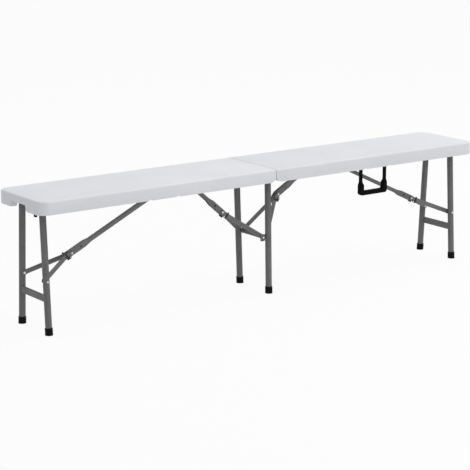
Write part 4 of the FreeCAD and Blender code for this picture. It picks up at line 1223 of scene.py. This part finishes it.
@dataclass
class Studio:
    """The pale floor, the lamps, the world and the camera."""

    camera_place: Triple = (-3.476, -4.700, 1.558)
    azimuth: float = 35.91
    elevation: float = 13.16
    roll: float = -0.06
    lens: float = 132.03
    ambient: float = 0.58
    panel: float = 145.0
    front: float = 0.10
    fill: float = 5.2
    floor_white: float = 0.93
    panel_place: Triple = (2.5, -1.0, 6.0)
    fill_place: Triple = (0.4, -2.6, 0.6)
    sun_side: Triple = (0.38, -0.90, 0.16)
    sun_angle: float = 20.0
    panel_size: float = 3.0
    fill_size: float = 0.8
    floor_size: float = 60.0
    floor_drop: float = 0.0004

    def build(self) -> None:
        """Sets up the studio."""
        self._floor()
        self._world()
        self._lamps()
        self._camera()
        view = bpy.context.scene.view_settings
        view.view_transform = "Standard"

    def _floor(self) -> None:
        """Lays the pale floor, which shows white to the camera and keeps the shadow."""
        clear_selection()
        bpy.ops.mesh.primitive_plane_add(size=self.floor_size, location=(0.0, 0.0, -self.floor_drop))
        floor = settle(bpy.context.object, "studio_floor")
        material = bpy.data.materials.new("studio_paper")
        material.use_nodes = True
        tree = material.node_tree
        paper = tree.nodes["Principled BSDF"]
        paper.inputs["Base Color"].default_value = (0.80, 0.80, 0.81, 1.0)
        paper.inputs["Roughness"].default_value = 0.9
        glow = tree.nodes.new("ShaderNodeEmission")
        mix = tree.nodes.new("ShaderNodeMixShader")
        share = tree.nodes.new("ShaderNodeMath")
        share.operation = "MULTIPLY"
        share.inputs[1].default_value = self.floor_white
        tree.links.new(self._rays(tree, "Camera", "Glossy"), share.inputs[0])
        tree.links.new(share.outputs[0], mix.inputs["Fac"])
        tree.links.new(paper.outputs[0], mix.inputs[1])
        tree.links.new(glow.outputs[0], mix.inputs[2])
        tree.links.new(mix.outputs[0], tree.nodes["Material Output"].inputs["Surface"])
        floor.data.materials.append(material)

    @staticmethod
    def _rays(tree: bpy.types.NodeTree, *kinds: str) -> bpy.types.NodeSocket:
        """Adds nodes that tell whether a ray is of one of some kinds.

        Args:
            tree: The nodes.
            *kinds: The kinds.

        Returns:
            The socket that is 1 for such rays.
        """
        path = tree.nodes.new("ShaderNodeLightPath")
        seen = path.outputs[f"Is {kinds[0]} Ray"]
        for kind in kinds[1:]:
            either = tree.nodes.new("ShaderNodeMath")
            either.operation = "MAXIMUM"
            tree.links.new(seen, either.inputs[0])
            tree.links.new(path.outputs[f"Is {kind} Ray"], either.inputs[1])
            seen = either.outputs[0]
        return seen

    def _world(self) -> None:
        """Lights the studio evenly and shows a white background."""
        world = bpy.data.worlds.new("studio_white")
        bpy.context.scene.world = world
        world.use_nodes = True
        tree = world.node_tree
        light = tree.nodes["Background"]
        light.inputs["Color"].default_value = (0.98, 0.99, 1.0, 1.0)
        light.inputs["Strength"].default_value = self.ambient
        shown = tree.nodes.new("ShaderNodeBackground")
        shown.inputs["Color"].default_value = (1.0, 1.0, 1.0, 1.0)
        mix = tree.nodes.new("ShaderNodeMixShader")
        tree.links.new(self._rays(tree, "Camera", "Glossy", "Transmission"), mix.inputs["Fac"])
        tree.links.new(light.outputs[0], mix.inputs[1])
        tree.links.new(shown.outputs[0], mix.inputs[2])
        tree.links.new(mix.outputs[0], tree.nodes["World Output"].inputs["Surface"])

    def _lamps(self) -> None:
        """Hangs a panel high on the right and a small one in front, and a weak soft sun for the legs."""
        clear_selection()
        for name, place, size, power in (("high_panel", self.panel_place, self.panel_size, self.panel),
                                         ("front_panel", self.fill_place, self.fill_size, self.fill)):
            bpy.ops.object.light_add(type="AREA", location=place)
            panel = bpy.context.object
            panel.name = name
            panel.data.energy = power
            panel.data.shape = "SQUARE"
            panel.data.size = size
            panel.rotation_euler = Vector(place).to_track_quat("Z", "Y").to_euler()
        bpy.ops.object.light_add(type="SUN", location=(0.0, 0.0, 4.0))
        lamp = bpy.context.object
        lamp.name = "front_sun"
        lamp.data.energy = self.front
        lamp.data.angle = math.radians(self.sun_angle)
        lamp.rotation_euler = Vector(self.sun_side).to_track_quat("Z", "Y").to_euler()

    def _camera(self) -> None:
        """Places the camera at the photograph's viewing angle."""
        turn, tilt, roll = (math.radians(angle) for angle in (self.azimuth, self.elevation, self.roll))
        ahead = Vector((math.sin(turn) * math.cos(tilt), math.cos(turn) * math.cos(tilt), -math.sin(tilt)))
        right = Vector((math.cos(turn), -math.sin(turn), 0.0))
        upright = right.cross(ahead)
        across = right * math.cos(roll) + upright * math.sin(roll)
        above = -right * math.sin(roll) + upright * math.cos(roll)
        clear_selection()
        bpy.ops.object.camera_add(location=self.camera_place)
        camera = bpy.context.object
        camera.name = "photo_camera"
        camera.rotation_euler = Matrix((across, above, -ahead)).transposed().to_euler()
        camera.data.lens = self.lens
        camera.data.sensor_width = 36.0
        camera.data.clip_end = 200.0
        bpy.context.scene.camera = camera


@dataclass
class Bench:
    """The bench, built sub-assembly by sub-assembly."""

    end_top: Triple = (0.318, 0.0, 0.428)
    mid_top: Triple = (0.290, 0.0, 0.428)
    end_arm: float = 0.14862
    mid_arm: float = 0.15951
    end_sag: float = 0.0035
    mid_sag: float = 0.007
    back_arm_y: float = 0.0665
    arm_inset: float = 0.0157
    end_legs: EndLegFrame = field(default_factory=EndLegFrame)
    right_mid: MidLegFrame = field(default_factory=lambda: MidLegFrame(Side.RIGHT, 0.009))
    left_mid: MidLegFrame = field(default_factory=lambda: MidLegFrame(Side.LEFT, -0.012))

    def build(self, nodes: dict[str, Piece]) -> None:
        """Builds every sub-assembly in order.

        Args:
            nodes: The CAD nodes by name.
        """
        SeatHalf().build()
        self.end_legs.build()
        self.right_mid.build()
        self.left_mid.build()
        self._end_braces()
        self._mid_braces()
        CarryHandle().build()
        ClosingHook().build()
        PlainSteel().build(nodes)

    def _end_braces(self) -> None:
        """Builds the end braces, which are pressed a little below their straight line."""
        legs = self.end_legs
        leg, top = Vector((legs.x, 0.0, legs.rivet_z)), Vector(self.end_top)
        inner = legs.spread(legs.rivet_z) - self.arm_inset
        knee = Brace.pressed_knee(leg, top, self.end_arm, self.end_sag)
        Brace(Kind.END, leg, knee, top, (inner, inner)).build()

    def _mid_braces(self) -> None:
        """Builds the middle braces: the left one pressed down, the right one with its knee raised."""
        top = Vector(self.mid_top)
        link = 0.0
        for frame in (self.left_mid, self.right_mid):
            rod = frame.rod()
            leg = Vector((rod.x, 0.0, rod.z))
            if frame.side is Side.LEFT:
                knee = Brace.pressed_knee(leg, top, self.mid_arm, self.mid_sag)
                link = (top - knee).length
            else:
                knee = Brace.raised_knee(leg, top, self.mid_arm, link)
            inner = rod.y - self.arm_inset
            Brace(Kind.MID, leg, knee, top, (inner, self.back_arm_y), (frame.side,)).build()


def main() -> None:
    """Loads the frame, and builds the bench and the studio."""
    logging.basicConfig(level=logging.INFO, format="%(message)s")
    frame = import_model()
    Bench().build(frame["nodes"])
    Studio().build()


if __name__ == "__main__":
    main()
